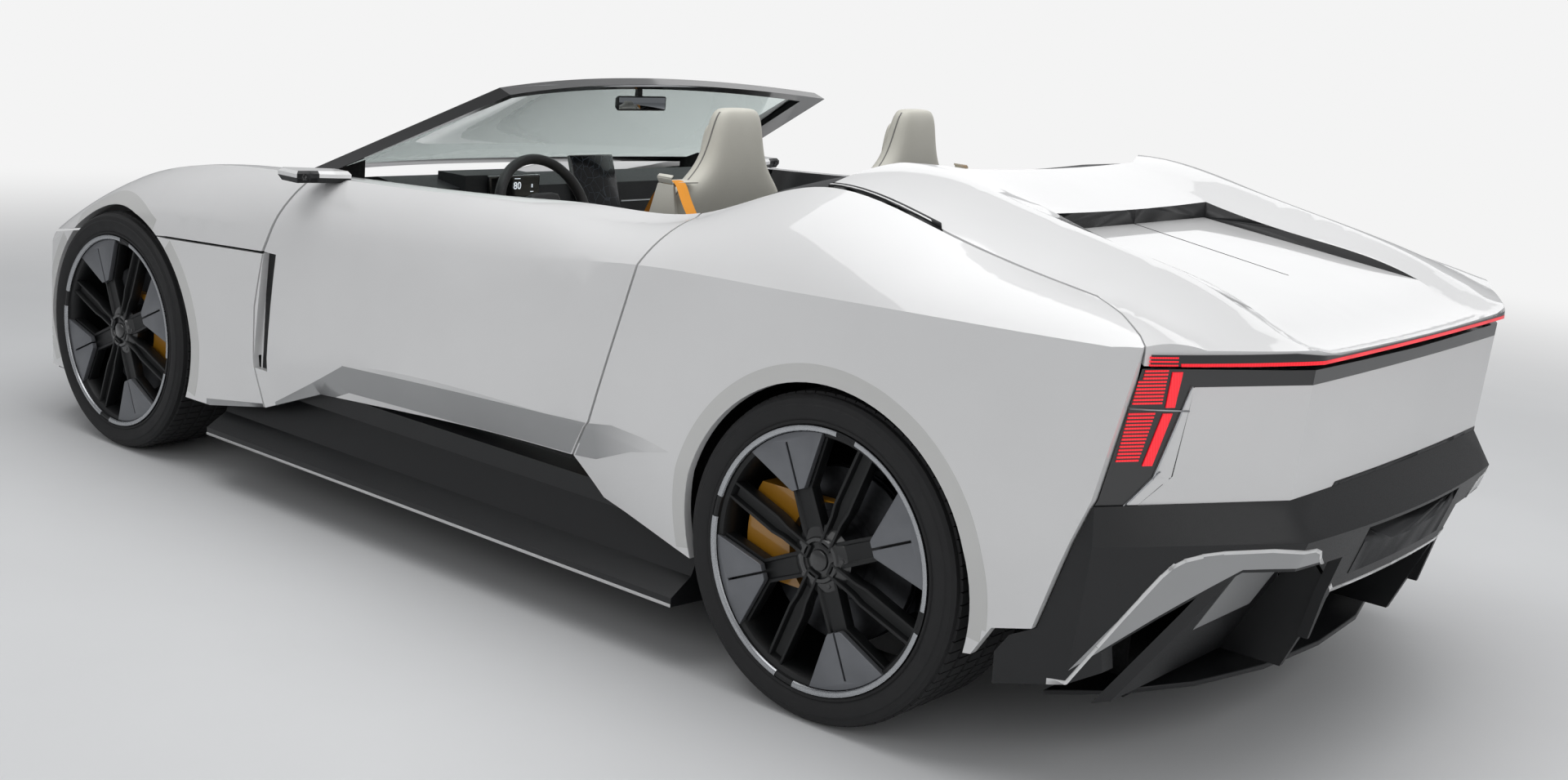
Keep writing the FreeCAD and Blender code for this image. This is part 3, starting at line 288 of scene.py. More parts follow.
# %% Glass and displays
clear = {"Roughness": 0.0, "IOR": 1.5, "Transmission_Weight": 1.0}
screen_glass, glass_tree, glass_bsdf = finish_named("laminated_screen_glass", "DCE6E4", **clear)
rough_between(glass_tree, glass_bsdf, pattern(glass_tree, NOISE, 250, Detail=4.0), 0.0, 0.02)
smoked = {"Roughness": 0.05, "IOR": 1.58, "Coat_Weight": 1.0, "Transmission_Weight": 0.35}
lamp_glass, lamp_tree, lamp_bsdf = finish_named("moulded_lamp_cover", "3A3D42", **smoked)
bumped(lamp_tree, lamp_bsdf, pattern(lamp_tree, WAVE, 14), 0.2, 0.3)
display_glass, display_tree, display_bsdf = finish_named("display_cover_glass", "0A0B0D", Coat_Weight=1.0)
rough_between(display_tree, display_bsdf, pattern(display_tree, NOISE, 30, Detail=5.0), 0.08, 0.2)

# %% Cloth, carpet and the battery case
carpet, carpet_tree, carpet_bsdf = finish_named("tufted_carpet", "1B1C1E", Sheen_Weight=0.4, Roughness=0.95)
tufts = pattern(carpet_tree, NOISE, 6, Detail=6.0)
toned(carpet_tree, carpet_bsdf, tufts, "131416", "26272A")
bumped(carpet_tree, carpet_bsdf, tufts, 0.9, 3.0)


def hide(name, dark, light):
    # Leather: pebbled cells about 2.5 mm across, drawn at 4 mm
    return grained(name, dark, light, (CELLS, 4, {}), (90, 4.0), (0.42, 0.6), (0.35, 0.25), Sheen_Weight=0.1)


seat_hide = hide("cream_seat_leather", "C9C7BC", "D6D4CA")

for names, finish in (
    (("bonnet", "nose_bumper", "wing_panels", "door_left", "door_right", "quarters"), white_paint),
    (("deck_lid", "rear_fascia", "mirror_left", "mirror_right"), white_paint),
    (("rear_bumper", "sills", "front_splitter"), satin_black),
    (("tonneau", "dashboard", "console", "steering_wheel"), cabin_trim),
    (("windscreen_frame", "rear_view_mirror", "tail_lamps"), gloss_black),
    (("floor_tub",), underbody_coat),
    (("battery_block", "front_suspension", "rear_suspension", "drive_unit"), raw_casting),
    (("knuckle_left", "knuckle_right"), raw_casting),
    (("caliper_front_left", "caliper_front_right", "calipers_rear"), caliper_gold),
    (("windscreen_glass",), screen_glass),
    (("headlamps",), lamp_glass),
    (("centre_screen",), display_glass),
    (("cabin_floor",), carpet),
    (("seats",), seat_hide),
):
    for name in names:
        painted(nodes[name], finish)
WHEELS = [end + "_" + side for end in ("front", "rear") for side in ("left", "right")]
for wheel in WHEELS:
    for kind, finish in (("tyre_", tyre_rubber), ("rim_", wheel_black), ("disc_", disc_steel)):
        painted(nodes[kind + wheel], finish)
print("finishes made:", len(bpy.data.materials))

# %% [markdown]
# ## Smooth panels
# The frame's panels come as loose triangles. Welding them and splitting them
# again only at real edges lets light run smoothly over each pressed panel, and
# keeps every crease crisp. Both are modifiers, so the panels' own shape stays.

# %% Smooth shading on the panels
PANEL_WELD, CREASE = 0.05 * MM, math.radians(22)
for node in nodes.values():
    node.data.polygons.foreach_set("use_smooth", [True] * len(node.data.polygons))
    node.modifiers.new("weld", "WELD").merge_threshold = PANEL_WELD
    node.modifiers.new("crease", "EDGE_SPLIT").split_angle = CREASE
print("panels smoothed:", len(nodes))

# %% [markdown]
# ## A small workbench
# Five habits come back for every piece: nothing stays selected by accident, an
# outline is drawn by pulling one vertex from corner to corner, a closed profile
# is spun like clay on a wheel, faces are picked by their place or the way they
# face, and a finished piece is named, given its finish and tied to the body
# that carries it.

# %% Picking and drawing
WELD, SHARP, SAME_WAY = 0.02 * MM, math.radians(35), 0.95


def leave_edit():
    if bpy.context.mode != "OBJECT":
        bpy.ops.object.mode_set(mode="OBJECT")


def alone(piece):
    leave_edit()
    bpy.ops.object.select_all(action="DESELECT")
    bpy.context.view_layer.objects.active = piece
    piece.select_set(True)


def into_edit(piece):
    alone(piece)
    bpy.ops.object.mode_set(mode="EDIT")


def pick_all():
    bpy.ops.mesh.select_all(action="SELECT")


def faces_out():
    pick_all()
    bpy.ops.mesh.normals_make_consistent(inside=False)


def choose(piece, kind, test):
    # Faces or vertices picked by their place and normal
    bpy.ops.mesh.select_mode(type=kind)
    bpy.ops.mesh.select_all(action="DESELECT")
    shape = bmesh.from_edit_mesh(piece.data)
    for face in shape.faces if kind == "FACE" else ():
        face.select_set(bool(test(face.calc_center_median(), face.normal)))
    for vert in shape.verts if kind == "VERT" else ():
        vert.select_set(bool(test(vert.co, vert.normal)))
    shape.select_flush_mode()
    bmesh.update_edit_mesh(piece.data)


def choose_facing(piece, axis, sign=1):
    # Faces that look along an axis, or against it
    choose(piece, "FACE", lambda centre, normal: sign * normal[axis] > SAME_WAY)


def drawn(points):
    # A chain of vertices, pulled from corner to corner; it stays in edit mode
    leave_edit()
    bpy.ops.object.select_all(action="DESELECT")
    bpy.ops.mesh.primitive_plane_add(size=0.001)
    piece = bpy.context.object
    bpy.ops.object.mode_set(mode="EDIT")
    bpy.ops.mesh.select_mode(type="VERT")
    bpy.ops.mesh.merge(type="CENTER")
    bpy.ops.transform.translate(value=points[0])
    for here, there in zip(points, points[1:]):
        bpy.ops.mesh.extrude_vertices_move(TRANSFORM_OT_translate={"value": Vector(there) - Vector(here)})
    pick_all()
    return piece


def pulled(way):
    bpy.ops.mesh.extrude_region_move(TRANSFORM_OT_translate={"value": way})


def pushed(points, push):
    # A flat outline closed with a face and pushed out to a solid
    piece = drawn(points)
    bpy.ops.mesh.edge_face_add()
    pulled(push)
    faces_out()
    return piece


def slab(x, y_span, z_span, push, edge_mm=None, segments=2):
    # An upright plate across the car, pushed along it, its edges rounded
    (y0, y1), (z0, z1) = y_span, z_span
    piece = pushed([(x, y0, z0), (x, y1, z0), (x, y1, z1), (x, y0, z1)], push)
    return rounded(piece, edge_mm, segments) if edge_mm else piece


def spun(profile, steps, angle=math.tau, closed=True):
    # A profile of (radius, place along the axle) turned about the Y axle at the origin
    points = [(r, y, 0) for r, y in profile]
    piece = drawn(points + points[:1] if closed else points)
    bpy.ops.mesh.remove_doubles(threshold=WELD)
    pick_all()
    bpy.ops.mesh.spin(steps=steps, angle=angle, center=(0, 0, 0), axis=(0, 1, 0))
    pick_all()
    bpy.ops.mesh.remove_doubles(threshold=WELD)
    faces_out()
    return piece


def laid(piece, place):
    # A piece drawn at the origin, brought to its place in its own mesh
    leave_edit()
    piece.data.transform(place)
    return piece


def strap(points, width, thickness):
    # A flat band along a path, a given width to one side, with a real thickness
    piece = drawn(points)
    bpy.ops.mesh.extrude_edges_move(TRANSFORM_OT_translate={"value": width})
    faces_out()
    return finish_with(piece, "SOLIDIFY", thickness=thickness, offset=0)


def finish_with(piece, kind, **settings):
    # One modifier, set and applied at once
    alone(piece)
    made = piece.modifiers.new(kind.lower(), kind)
    for key, value in settings.items():
        setattr(made, key, value)
    bpy.ops.object.modifier_apply(modifier=made.name)
    return piece


def rounded(piece, radius_mm, segments=2):
    edges = {"limit_method": "ANGLE", "angle_limit": SHARP}
    return finish_with(piece, "BEVEL", width=radius_mm * MM, segments=segments, **edges)


# %% Naming, joining and copying
def finished(piece, name, finish, body, angle_deg=32):
    alone(piece)
    bpy.ops.object.transform_apply(location=True, rotation=True, scale=True)
    piece.name = piece.data.name = name
    painted(piece, finish)
    bpy.ops.object.shade_smooth_by_angle(angle=math.radians(angle_deg))
    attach(piece, body)
    return piece


def joined(pieces):
    leave_edit()
    bpy.ops.object.select_all(action="DESELECT")
    for piece in pieces:
        piece.select_set(True)
    bpy.context.view_layer.objects.active = pieces[0]
    if len(pieces) > 1:
        bpy.ops.object.join()
    return pieces[0]


def copied(piece, matrix):
    # A second piece with its own mesh, moved, turned or mirrored to its place
    leave_edit()
    again = bpy.data.objects.new(piece.name + "_copy", piece.data.copy())
    bpy.context.scene.collection.objects.link(again)
    again.data.transform(matrix)
    if matrix.determinant() < 0:
        again.data.flip_normals()
    return again


def on_both_sides(pieces, name, finish, body, angle_deg=32):
    # One piece from the left parts and their mirrored copies, across the middle
    left = joined(pieces)
    return finished(joined([left, copied(left, MIRROR)]), name, finish, body, angle_deg)


def thrown_away(*pieces):
    leave_edit()
    for piece in pieces:
        bpy.data.objects.remove(piece)


def turn(degrees, axis="Y"):
    return Matrix.Rotation(math.radians(degrees), 4, axis)


def shift(x, y, z):
    return Matrix.Translation((x, y, z))


def reach(sign, near, far):
    # A span along y on the left or the right side
    return sorted((sign * near, sign * far))


# %% [markdown]
# ## Coverings cut from the panels
# Trim, lamp lenses and painted bands follow the panel under them exactly. The
# surest way is to cut them out of the panel itself: a copy is bisected down to
# the outline, what faces the wrong way goes, and the rest gets a thickness
# outward. Nothing floats and nothing sinks in. Where the panel is curved, a flat
# grid is pressed onto it instead, like a decal, which keeps the shading smooth.

# %% Cutting a covering
# Where flat grids are held before they are pressed on; what stayed within 10 mm has missed
LEFT_OF_CAR, BEHIND_CAR, STAYED = 1.1, -2.6, 10 * MM


def covering(panel, corners, along, facing, lift_mm, span=None, limit=0.3):
    # corners: a convex outline seen along an axis; span: the reach along that axis
    piece = bpy.data.objects.new("covering", nodes[panel].data.copy())
    bpy.context.scene.collection.objects.link(piece)
    into_edit(piece)
    pick_all()
    bpy.ops.mesh.remove_doubles(threshold=PANEL_WELD)
    u, v = [i for i in range(3) if i != along]
    middle = [sum(c[i] for c in corners) / len(corners) for i in (0, 1)]
    planes = []
    for a, b in zip(corners, corners[1:] + corners[:1]):
        out = [b[1] - a[1], a[0] - b[0]]
        if out[0] * (middle[0] - a[0]) + out[1] * (middle[1] - a[1]) > 0:
            out = [-out[0], -out[1]]
        place, normal = [0, 0, 0], [0, 0, 0]
        place[u], place[v] = a
        normal[u], normal[v] = out
        planes.append((place, normal))
    for end, sign in zip(span or (), (-1, 1)):
        place, normal = [0, 0, 0], [0, 0, 0]
        place[along], normal[along] = end, sign
        planes.append((place, normal))
    for place, normal in planes:
        pick_all()
        bpy.ops.mesh.bisect(plane_co=place, plane_no=normal, clear_outer=True)
    way = Vector(facing).normalized()
    choose(piece, "FACE", lambda centre, normal: normal.dot(way) < limit)
    bpy.ops.mesh.delete(type="FACE")
    leave_edit()
    return finish_with(piece, "SOLIDIFY", thickness=lift_mm * MM, offset=1)


def pressed(corners, panel, lift_mm, cuts, inward=False):
    # A flat grid held clear of the car and pressed onto a panel: forward from
    # behind, seen as (y, z), or inward from the left side, seen as (x, z)
    piece = drawn([(a, LEFT_OF_CAR, b) if inward else (BEHIND_CAR, a, b) for a, b in corners])
    bpy.ops.mesh.edge_face_add()
    bpy.ops.mesh.subdivide(number_cuts=cuts)
    return settled(piece, panel, lift_mm, inward)


def settled(piece, panel, lift_mm, inward):
    # Pressed down along one axis; points that miss the panel are left out
    finish_with(
        piece, "SHRINKWRAP", target=nodes[panel], wrap_method="PROJECT", use_project_x=not inward,
        use_project_y=inward, use_positive_direction=not inward, use_negative_direction=inward,
    )

    def missed(place, normal):
        return place.y > LEFT_OF_CAR - STAYED if inward else place.x < BEHIND_CAR + STAYED

    into_edit(piece)
    choose(piece, "VERT", missed)
    bpy.ops.mesh.delete(type="VERT")
    leave_edit()
    outward = Vector((0, 1, 0)) if inward else Vector((-1, 0, 0))
    if sum(face.normal.dot(outward) for face in piece.data.polygons) < 0:
        piece.data.flip_normals()
    return finish_with(piece, "SOLIDIFY", thickness=lift_mm * MM, offset=1)


def pane(a, b, width):
    # The four corners of a band from point a to point b, in a flat view
    along = Vector((b[0] - a[0], b[1] - a[1])).normalized()
    side = Vector((-along.y, along.x)) * width / 2
    return [tuple(Vector(end) + way * side) for end, way in ((a, 1), (b, 1), (b, -1), (a, -1))]


print("workbench ready")

# %% [markdown]
# ## Tyres
# A very low profile road tyre: a smooth sidewall with a rim protector and a
# bead groove, square shoulders, and five tread ribs. The section is spun once
# like clay; then each rib is divided into blocks by an inset that also lifts
# them, which cuts the cross grooves. Front and rear differ only in width.

# %% Tyres
AXLE_X = {"front": 1.4465, "rear": -1.3205}
WIDTH = {"front": 0.265, "rear": 0.3}
FACE_Y, AXLE_Z = 0.985, 0.365
TREAD_R, GROOVE_DEPTH, GROOVE = 0.365, 0.006, 0.009
OUTER_SIDE, SHOULDER, RIBS, BLOCKS = -0.003, 0.024, 5, 84


def rib_width(width):
    return (width - 2 * SHOULDER - (RIBS - 1) * GROOVE) / RIBS


def tyre_section(width):
    # (radius, place along the axle), from the outer bead over the tread to the inner bead
    out, inner = OUTER_SIDE, OUTER_SIDE - width
    base, rib = TREAD_R - GROOVE_DEPTH, rib_width(width)
    outer_wall = (
        (0.2873, -0.009), (0.2965, -0.009), (0.2975, -0.002), (0.303, 0), (0.306, -0.003), (0.309, -0.001),
        (0.322, 0.002), (0.338, 0.0025), (0.341, -0.0005), (0.352, -0.003), (0.3595, -0.011),
    )
    inner_wall = ((0.3595, 0.011), (0.352, 0.003), (0.338, -0.002), (0.305, 0), (0.2873, 0.009))
    points = [(radius, out + place) for radius, place in outer_wall]
    for n in range(RIBS):
        top = out - SHOULDER - n * (rib + GROOVE)
        points += [(base, top), (base, top - rib)]
    points += [(radius, inner + place) for radius, place in inner_wall]
    return points


def tyre_shape(width):
    piece = spun(tyre_section(width), BLOCKS)
    rib = rib_width(width)

    def on_rib(centre, normal):
        place = OUTER_SIDE - SHOULDER - centre.y
        in_tread = math.hypot(centre.x, centre.z) > TREAD_R - GROOVE and 0 < place < width - 2 * SHOULDER
        return in_tread and place % (rib + GROOVE) < rib

    choose(piece, "FACE", on_rib)
    bpy.ops.mesh.inset(thickness=0.0018, depth=GROOVE_DEPTH, use_individual=True)
    return piece


def end_of(wheel):
    return wheel.split("_")[0]


def wheel_place(wheel):
    here = shift(AXLE_X[end_of(wheel)], FACE_Y, AXLE_Z)
    return MIRROR @ here if "right" in wheel else here


tyres = {end: tyre_shape(width) for end, width in WIDTH.items()}
for wheel in WHEELS:
    ring = copied(tyres[end_of(wheel)], wheel_place(wheel))
    finished(ring, "tyre_ring_" + wheel, tyre_rubber, "wheel_" + wheel + "_body", 30)
    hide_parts("tyre_" + wheel)
print("tyre faces:", [len(tyre.data.polygons) for tyre in tyres.values()])
thrown_away(*tyres.values())

# %% [markdown]
# ## Wheel rims
# The cast wheel has a black barrel, four broad black arms that carry satin grey
# wedge inserts, and four pairs of thin black bars between them. Each wedge is
# split by a slit from its inner end, and a bright machined lip shows outside
# the wedges. All sit a little behind the tyre's face. Each part is modelled
# once at the axle, then copied by a quarter turn and mirrored for the far side.

# %% Barrel and lip
def barrel_shape(width):
    inner = OUTER_SIDE - width
    wall = [(0.275, inner + 0.002), (0.287, inner + 0.002), (0.287, -0.0115), (0.2945, -0.0115), (0.2945, -0.004)]
    wall += [(0.288, -0.003), (0.283, -0.006), (0.281, -0.014), (0.272, -0.018), (0.266, -0.03)]
    wall += [(0.264, -0.06), (0.272, -0.09)]
    return spun(wall, 96)


def lip_shape():
    # A quarter of the bright lip, with its ends short of the twin bars
    section = [(0.2947, -0.0045), (0.2944, -0.0018), (0.2885, -0.001)]
    section += [(0.2835, -0.003), (0.2815, -0.0065), (0.283, -0.0085)]
    piece = spun(section, 20, angle=math.radians(80))
    bpy.ops.mesh.select_mode(type="EDGE")
    bpy.ops.mesh.select_all(action="DESELECT")
    bpy.ops.mesh.select_non_manifold()
    bpy.ops.mesh.edge_face_add()
    return laid(piece, turn(-40))


# %% Wedges, arms and bars
def at(angle_deg, radius, y, side=0.0):
    # A point at an angle and radius in the wheel, with a shift to one side
    a = math.radians(angle_deg)
    return Vector((radius * math.cos(a) - side * math.sin(a), y, radius * math.sin(a) + side * math.cos(a)))


def wedge_shape():
    # One insert: a fan-shaped plate with a slit that starts at its inner end
    low, slit = -0.0235, 0.0026
    half = [at(0, 0.262, low, slit), at(0, 0.157, low, slit), at(0, 0.157, low, 0.017), at(0, 0.162, low, 0.0225)]
    rim_edge = [at(21.6 - 3.6 * step, 0.2805, low) for step in range(13)]
    other = [Vector((p.x, p.y, -p.z)) for p in half[::-1]]
    piece = pushed(half + rim_edge + other, (0, 0.0145, 0))
    choose_facing(piece, Y)
    bpy.ops.mesh.inset(thickness=0.0016, depth=0.0008)
    return rounded(piece, 0.6)


def arm_shape():
    # A broad arm that widens into a carrier behind the insert
    low = -0.052
    side = [at(0, 0.02, low, 0.029), at(0, 0.155, low, 0.0265)]
    side += [at(21.5, 0.266, low, 0.004), at(21.5, 0.279, low, 0.004)]
    corners = side + [at(0, 0.2805, low)] + [Vector((p.x, p.y, -p.z)) for p in side[::-1]]
    piece = pushed(corners, (0, 0.0275, 0))
    choose_facing(piece, Y)
    bpy.ops.mesh.inset(thickness=0.007, depth=0.0)
    bpy.ops.mesh.inset(thickness=0.003, depth=-0.005)
    return rounded(piece, 1.6)


def bar_shape():
    # The twin bar: one spoke with a deep channel, so that only its two edges catch light
    low = -0.05
    outline = [(0.03, 0.0165), (0.105, 0.0175), (0.135, 0.0225), (0.284, 0.0215)]
    outline += [(radius, -side) for radius, side in outline[::-1]]
    piece = pushed([at(45, radius, low, side) for radius, side in outline], (0, 0.032, 0))
    choose_facing(piece, Y)
    bpy.ops.mesh.inset(thickness=0.0065, depth=0.0)
    bpy.ops.mesh.inset(thickness=0.0015, depth=-0.016)
    return rounded(piece, 1.4)


def hub_shape():
    # A dished cap with a raised ring and a centre disc, left bare
    cap = [(0.0, -0.0165), (0.02, -0.0165), (0.0225, -0.018), (0.0245, -0.0225), (0.037, -0.0255)]
    cap += [(0.04, -0.0225), (0.0415, -0.0185)]
    cap += [(0.049, -0.0185), (0.052, -0.023), (0.07, -0.028), (0.077, -0.034), (0.078, -0.088), (0.0, -0.088)]
    return spun(cap, 48, closed=False)


def bolt_shape():
    # A wheel bolt with a hexagon head in its own well
    section = [(0.0, -0.0235), (0.0052, -0.0235), (0.0064, -0.0248), (0.0072, -0.034), (0.0, -0.034)]
    return laid(spun(section, 6, closed=False), turn(22.5) @ shift(0.059, 0, 0))


# %% Four wheels
FIRST_ARM = 24


def around(piece, count=4):
    # The same part all round the hub, as one mesh
    turns = [copied(piece, turn(FIRST_ARM + n * 360 / count)) for n in range(count)]
    thrown_away(piece)
    return joined(turns)


lip, inserts, arms, bars = (around(shape()) for shape in (lip_shape, wedge_shape, arm_shape, bar_shape))
bolts, hub_cap = around(bolt_shape(), 5), hub_shape()
barrels = {end: barrel_shape(width) for end, width in WIDTH.items()}
for wheel in WHEELS:
    body, place = "wheel_" + wheel + "_body", wheel_place(wheel)
    dark = joined([copied(part, place) for part in (barrels[end_of(wheel)], arms, bars)])
    finished(dark, "rim_casting_" + wheel, wheel_black, body)
    finished(copied(inserts, place), "rim_inserts_" + wheel, wheel_grey, body)
    finished(copied(lip, place), "rim_lip_" + wheel, bright_rim, body)
    cap = joined([copied(part, place) for part in (hub_cap, bolts)])
    finished(cap, "hub_cap_" + wheel, gloss_black, body)
    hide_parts("rim_" + wheel)
print("wheel casting faces:", len(dark.data.polygons))
thrown_away(lip, inserts, arms, bars, bolts, hub_cap, *barrels.values())

# %% [markdown]
# ## Brake discs
# The discs are vented: two faces with a dark gap and vanes between. The faces
# carry drilled holes in real life; here the faces get a raised friction band,
# and the bell is a separate turned step, as seen between the spokes.

# %% Brake discs
DISC_SIDE = -0.095
DISC = (
    (0.031, 0.0195), (0.066, 0.0195), (0.072, 0.017), (0.0775, 0.004), (0.0775, -0.001), (0.098, -0.001),
    (0.099, -0.0002), (0.193, -0.0002), (0.1948, -0.002), (0.1948, -0.0095), (0.186, -0.0105),
    (0.186, -0.0195), (0.1948, -0.0205), (0.1948, -0.028), (0.193, -0.0298), (0.031, -0.0298),
)
disc_ring = spun([(radius, DISC_SIDE + place) for radius, place in DISC], 64)
for wheel in WHEELS:
    ring = copied(disc_ring, wheel_place(wheel))
    finished(ring, "brake_ring_" + wheel, disc_steel, "wheel_" + wheel + "_body")
    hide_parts("disc_" + wheel)
print("brake disc faces:", len(disc_ring.data.polygons))
thrown_away(disc_ring)

# %% [markdown]
# ## Lamps at the tail
# One dark glassy unit runs from corner to corner. A thin red strip crosses the
# tail under the edge of the deck, turns down in an L at each corner, and beside
# it stand two stacks of thin red louvres, all with a bright line between. The
# unlit lens would be a deep red; lit, each red gives light itself, so it gets
# an emission that is strong enough to stay red and not burn to pink.

# %% Lamp finishes
lit_red, red_tree, red_bsdf = finish_named("lit_red_lens", "E01224", Roughness=0.25, IOR=1.49, Coat_Weight=0.6)
red_bsdf.inputs["Emission Strength"].default_value = 0.55
red_bsdf.inputs["Emission Color"].default_value = hex_colour("FF1428")
toned(red_tree, red_bsdf, pattern(red_tree, WAVE, 9), "C80F1E", "EE2434")
lens_black = lacquered("smoked_lens", "0B0C0E", "14161A")

# %% Black cap over the light bar
# Each row: corners seen from behind as (y, z), the panel, the lift in mm and the cuts
caps = [
    pressed([(-0.001, 0.9165), (0.45, 0.9165), (0.45, 0.9272), (-0.001, 0.9262)], "deck_lid", 4, 14),
    pressed([(0.45, 0.9165), (0.6, 0.9172), (0.6, 0.94), (0.45, 0.9272)], "deck_lid", 4, 8),
    pressed([(0.6, 0.9172), (0.905, 0.9188), (0.905, 0.94), (0.6, 0.94)], "deck_lid", 4, 14),
]
bar = pressed([(-0.001, 0.9162), (0.834, 0.9162), (0.834, 0.9235), (-0.001, 0.9235)], "deck_lid", 5.5, 32)
leg_top = pressed([(0.828, 0.9162), (0.848, 0.9162), (0.85, 0.9235), (0.828, 0.9235)], "deck_lid", 5.6, 4)
legs = [
    pressed([(0.846, 0.912), (0.824, 0.912), (0.822, 0.832), (0.8405, 0.832)], "tail_lamps", 2.4, 8),
    pressed([(0.8425, 0.82), (0.8235, 0.82), (0.838, 0.714), (0.8575, 0.714)], "tail_lamps", 2.4, 8),
]
LOUVRES, HALF_HEIGHT = 14, 0.0017


def stack(y_out, y_in_top, y_in_low, z_top, z_low, source, lift_mm, rows):
    # Thin level louvres between two heights, from the outer to the inner side
    made = []
    for n in rows:
        z = z_top + (z_low - z_top) * (n + 0.5) / LOUVRES
        y_in = y_in_top + (y_in_low - y_in_top) * (n + 0.5) / LOUVRES
        low, high = z - HALF_HEIGHT, z + HALF_HEIGHT
        made.append(pressed([(y_out, low), (y_in, low), (y_in, high), (y_out, high)], source, lift_mm, 6))
    return made


lid_louvres = stack(0.908, 0.856, 0.85, 0.938, 0.838, "deck_lid", 4.6, range(3))
louvres = stack(0.91, 0.856, 0.85, 0.938, 0.838, "tail_lamps", 2.0, range(4, LOUVRES))
louvres += stack(0.912, 0.8585, 0.868, 0.824, 0.722, "tail_lamps", 2.0, range(LOUVRES))
lines = [
    covering("tail_lamps", pane(*line), X, (-1, 0.45, 0), 3, limit=0.5)
    for line in (
        ((0.912, 0.831), (0.826, 0.8262), 0.0025),
        ((0.797, 0.872), (0.8297, 0.687), 0.0035),
        ((0.8297, 0.688), (0.866, 0.64), 0.0035),
    )
]
corner_white = [
    pressed([(0.79, 0.871), (0.7955, 0.871), (0.8278, 0.688), (0.79, 0.688)], "tail_lamps", 1.2, 10),
    pressed([(0.79, 0.6905), (0.8278, 0.688), (0.869, 0.6335), (0.843, 0.6335)], "tail_lamps", 1.2, 10),
]

# %% Both sides of the tail
on_both_sides(caps, "light_bar_cap", lens_black, "rear_lid")
on_both_sides([bar, leg_top], "light_bar_red", lit_red, "rear_lid")
on_both_sides(legs, "light_bar_legs", lit_red, "car_body")
on_both_sides(lid_louvres, "lid_louvres", lit_red, "rear_lid")
on_both_sides(louvres, "lamp_louvres", lit_red, "car_body")
on_both_sides(lines, "lamp_bright_lines", bright_edge, "car_body")
on_both_sides(corner_white, "lamp_corner_panels", white_paint, "car_body")
print("red louvres a side:", len(louvres))

# %% [markdown]
# ## Trim on the deck and the fairings
# A slim black blade with a white line in it lies in the joint between each rear
# wing and the fairing beside the deck. The sunk panel in the middle of the deck
# has dark walls, and a fine groove runs down its middle.

# %% Deck trim
JOINT = [(-1.1, 0.781), (-1.09, 0.8), (-1.44, 0.8), (-1.424, 0.781)]
blade = covering("deck_lid", JOINT, Z, (0, 0, 1), 1.6)
LINE = [(-1.15, 0.7885), (-1.15, 0.7925), (-1.408, 0.7925), (-1.402, 0.7885)]
blade_line = covering("deck_lid", LINE, Z, (0, 0, 1), 2.2)
SIDE = [(-1.09, 1.09), (-1.09, 1.17), (-1.44, 1.12), (-1.44, 1.05)]
blade_side = covering("deck_lid", SIDE, Y, (0, 1, 0), 0.6, span=(0.79, 0.81), limit=0.8)
on_both_sides([blade, blade_side], "fairing_blades", satin_black, "rear_lid")
on_both_sides([blade_line], "fairing_blade_lines", white_paint, "rear_lid")

FRONT_WALL = [(-0.373, 1.06), (0, 1.06), (0, 1.125), (-0.373, 1.125)]
front_wall = covering("deck_lid", FRONT_WALL, X, (-1, 0, 0), 0.6, span=(-1.47, -1.44), limit=0.85)
SIDE_WALL = [(-1.45, 1.05), (-1.45, 1.13), (-2.08, 1.0), (-2.08, 0.96)]
side_wall = covering("deck_lid", SIDE_WALL, Y, (0, 1, 0), 0.6, span=(-0.49, -0.355), limit=0.85)
on_both_sides([front_wall, side_wall], "recess_walls", satin_black, "rear_lid")
GROOVE_LINE = [(-1.455, -0.0022), (-1.455, 0.0022), (-1.862, 0.0016), (-1.862, -0.0016)]
groove = covering("deck_lid", GROOVE_LINE, Z, (0, 0, 1), 0.5, span=(0.98, 1.08))
finished(groove, "recess_groove", satin_black, "rear_lid")

# %% [markdown]
# ## Painted bands along the flanks
# Under the doors a broad bevel turns down. It catches less light, and that shade
# is painted into it as a cooler grey. There is a band for each panel, so that they part
# with the doors. At the tail a bright line follows the bumper's opening.

# %% Bevel bands
# Each band is pressed on in strips that stop short of the shut lines
DOOR_BEVEL = [
    [(0.326, 0.395), (0.326, 0.472), (-0.1, 0.4932), (-0.1, 0.3985)],
    [(-0.1, 0.3985), (-0.1, 0.4932), (-0.615, 0.5189), (-0.537, 0.4225)],
]
QUARTER_BEVEL = [
    [(-0.5475, 0.4215), (-0.626, 0.52), (-0.7, 0.531), (-0.634, 0.4314)],
    [(-0.634, 0.4314), (-0.7, 0.531), (-0.8, 0.524), (-0.766, 0.4826)],
    [(-0.766, 0.4826), (-0.8, 0.524), (-0.885, 0.509), (-0.83, 0.4968)],
]
DOOR_TIP = [(0.66, 0.262), (0.66, 0.3), (0.324, 0.472), (0.324, 0.395)]
WING_BEVEL = [(0.98, 0.205), (0.98, 0.246), (0.6, 0.3), (0.6, 0.205)]


def tip(source, outline, sign):
    return covering(source, outline, Y, (0, sign, 0), 0.5, span=reach(sign, 0.9, 1.0), limit=0.7)


long_strips = joined([pressed(outline, "door_left", 0.8, 14, inward=True) for outline in DOOR_BEVEL])
for side, sign, place in SIDES:
    band = joined([copied(long_strips, place), tip("door_" + side, DOOR_TIP, sign)])
    finished(band, "door_bevel_" + side, grey_and_shade_paint, "door_" + side + "_body", 20)
thrown_away(long_strips)
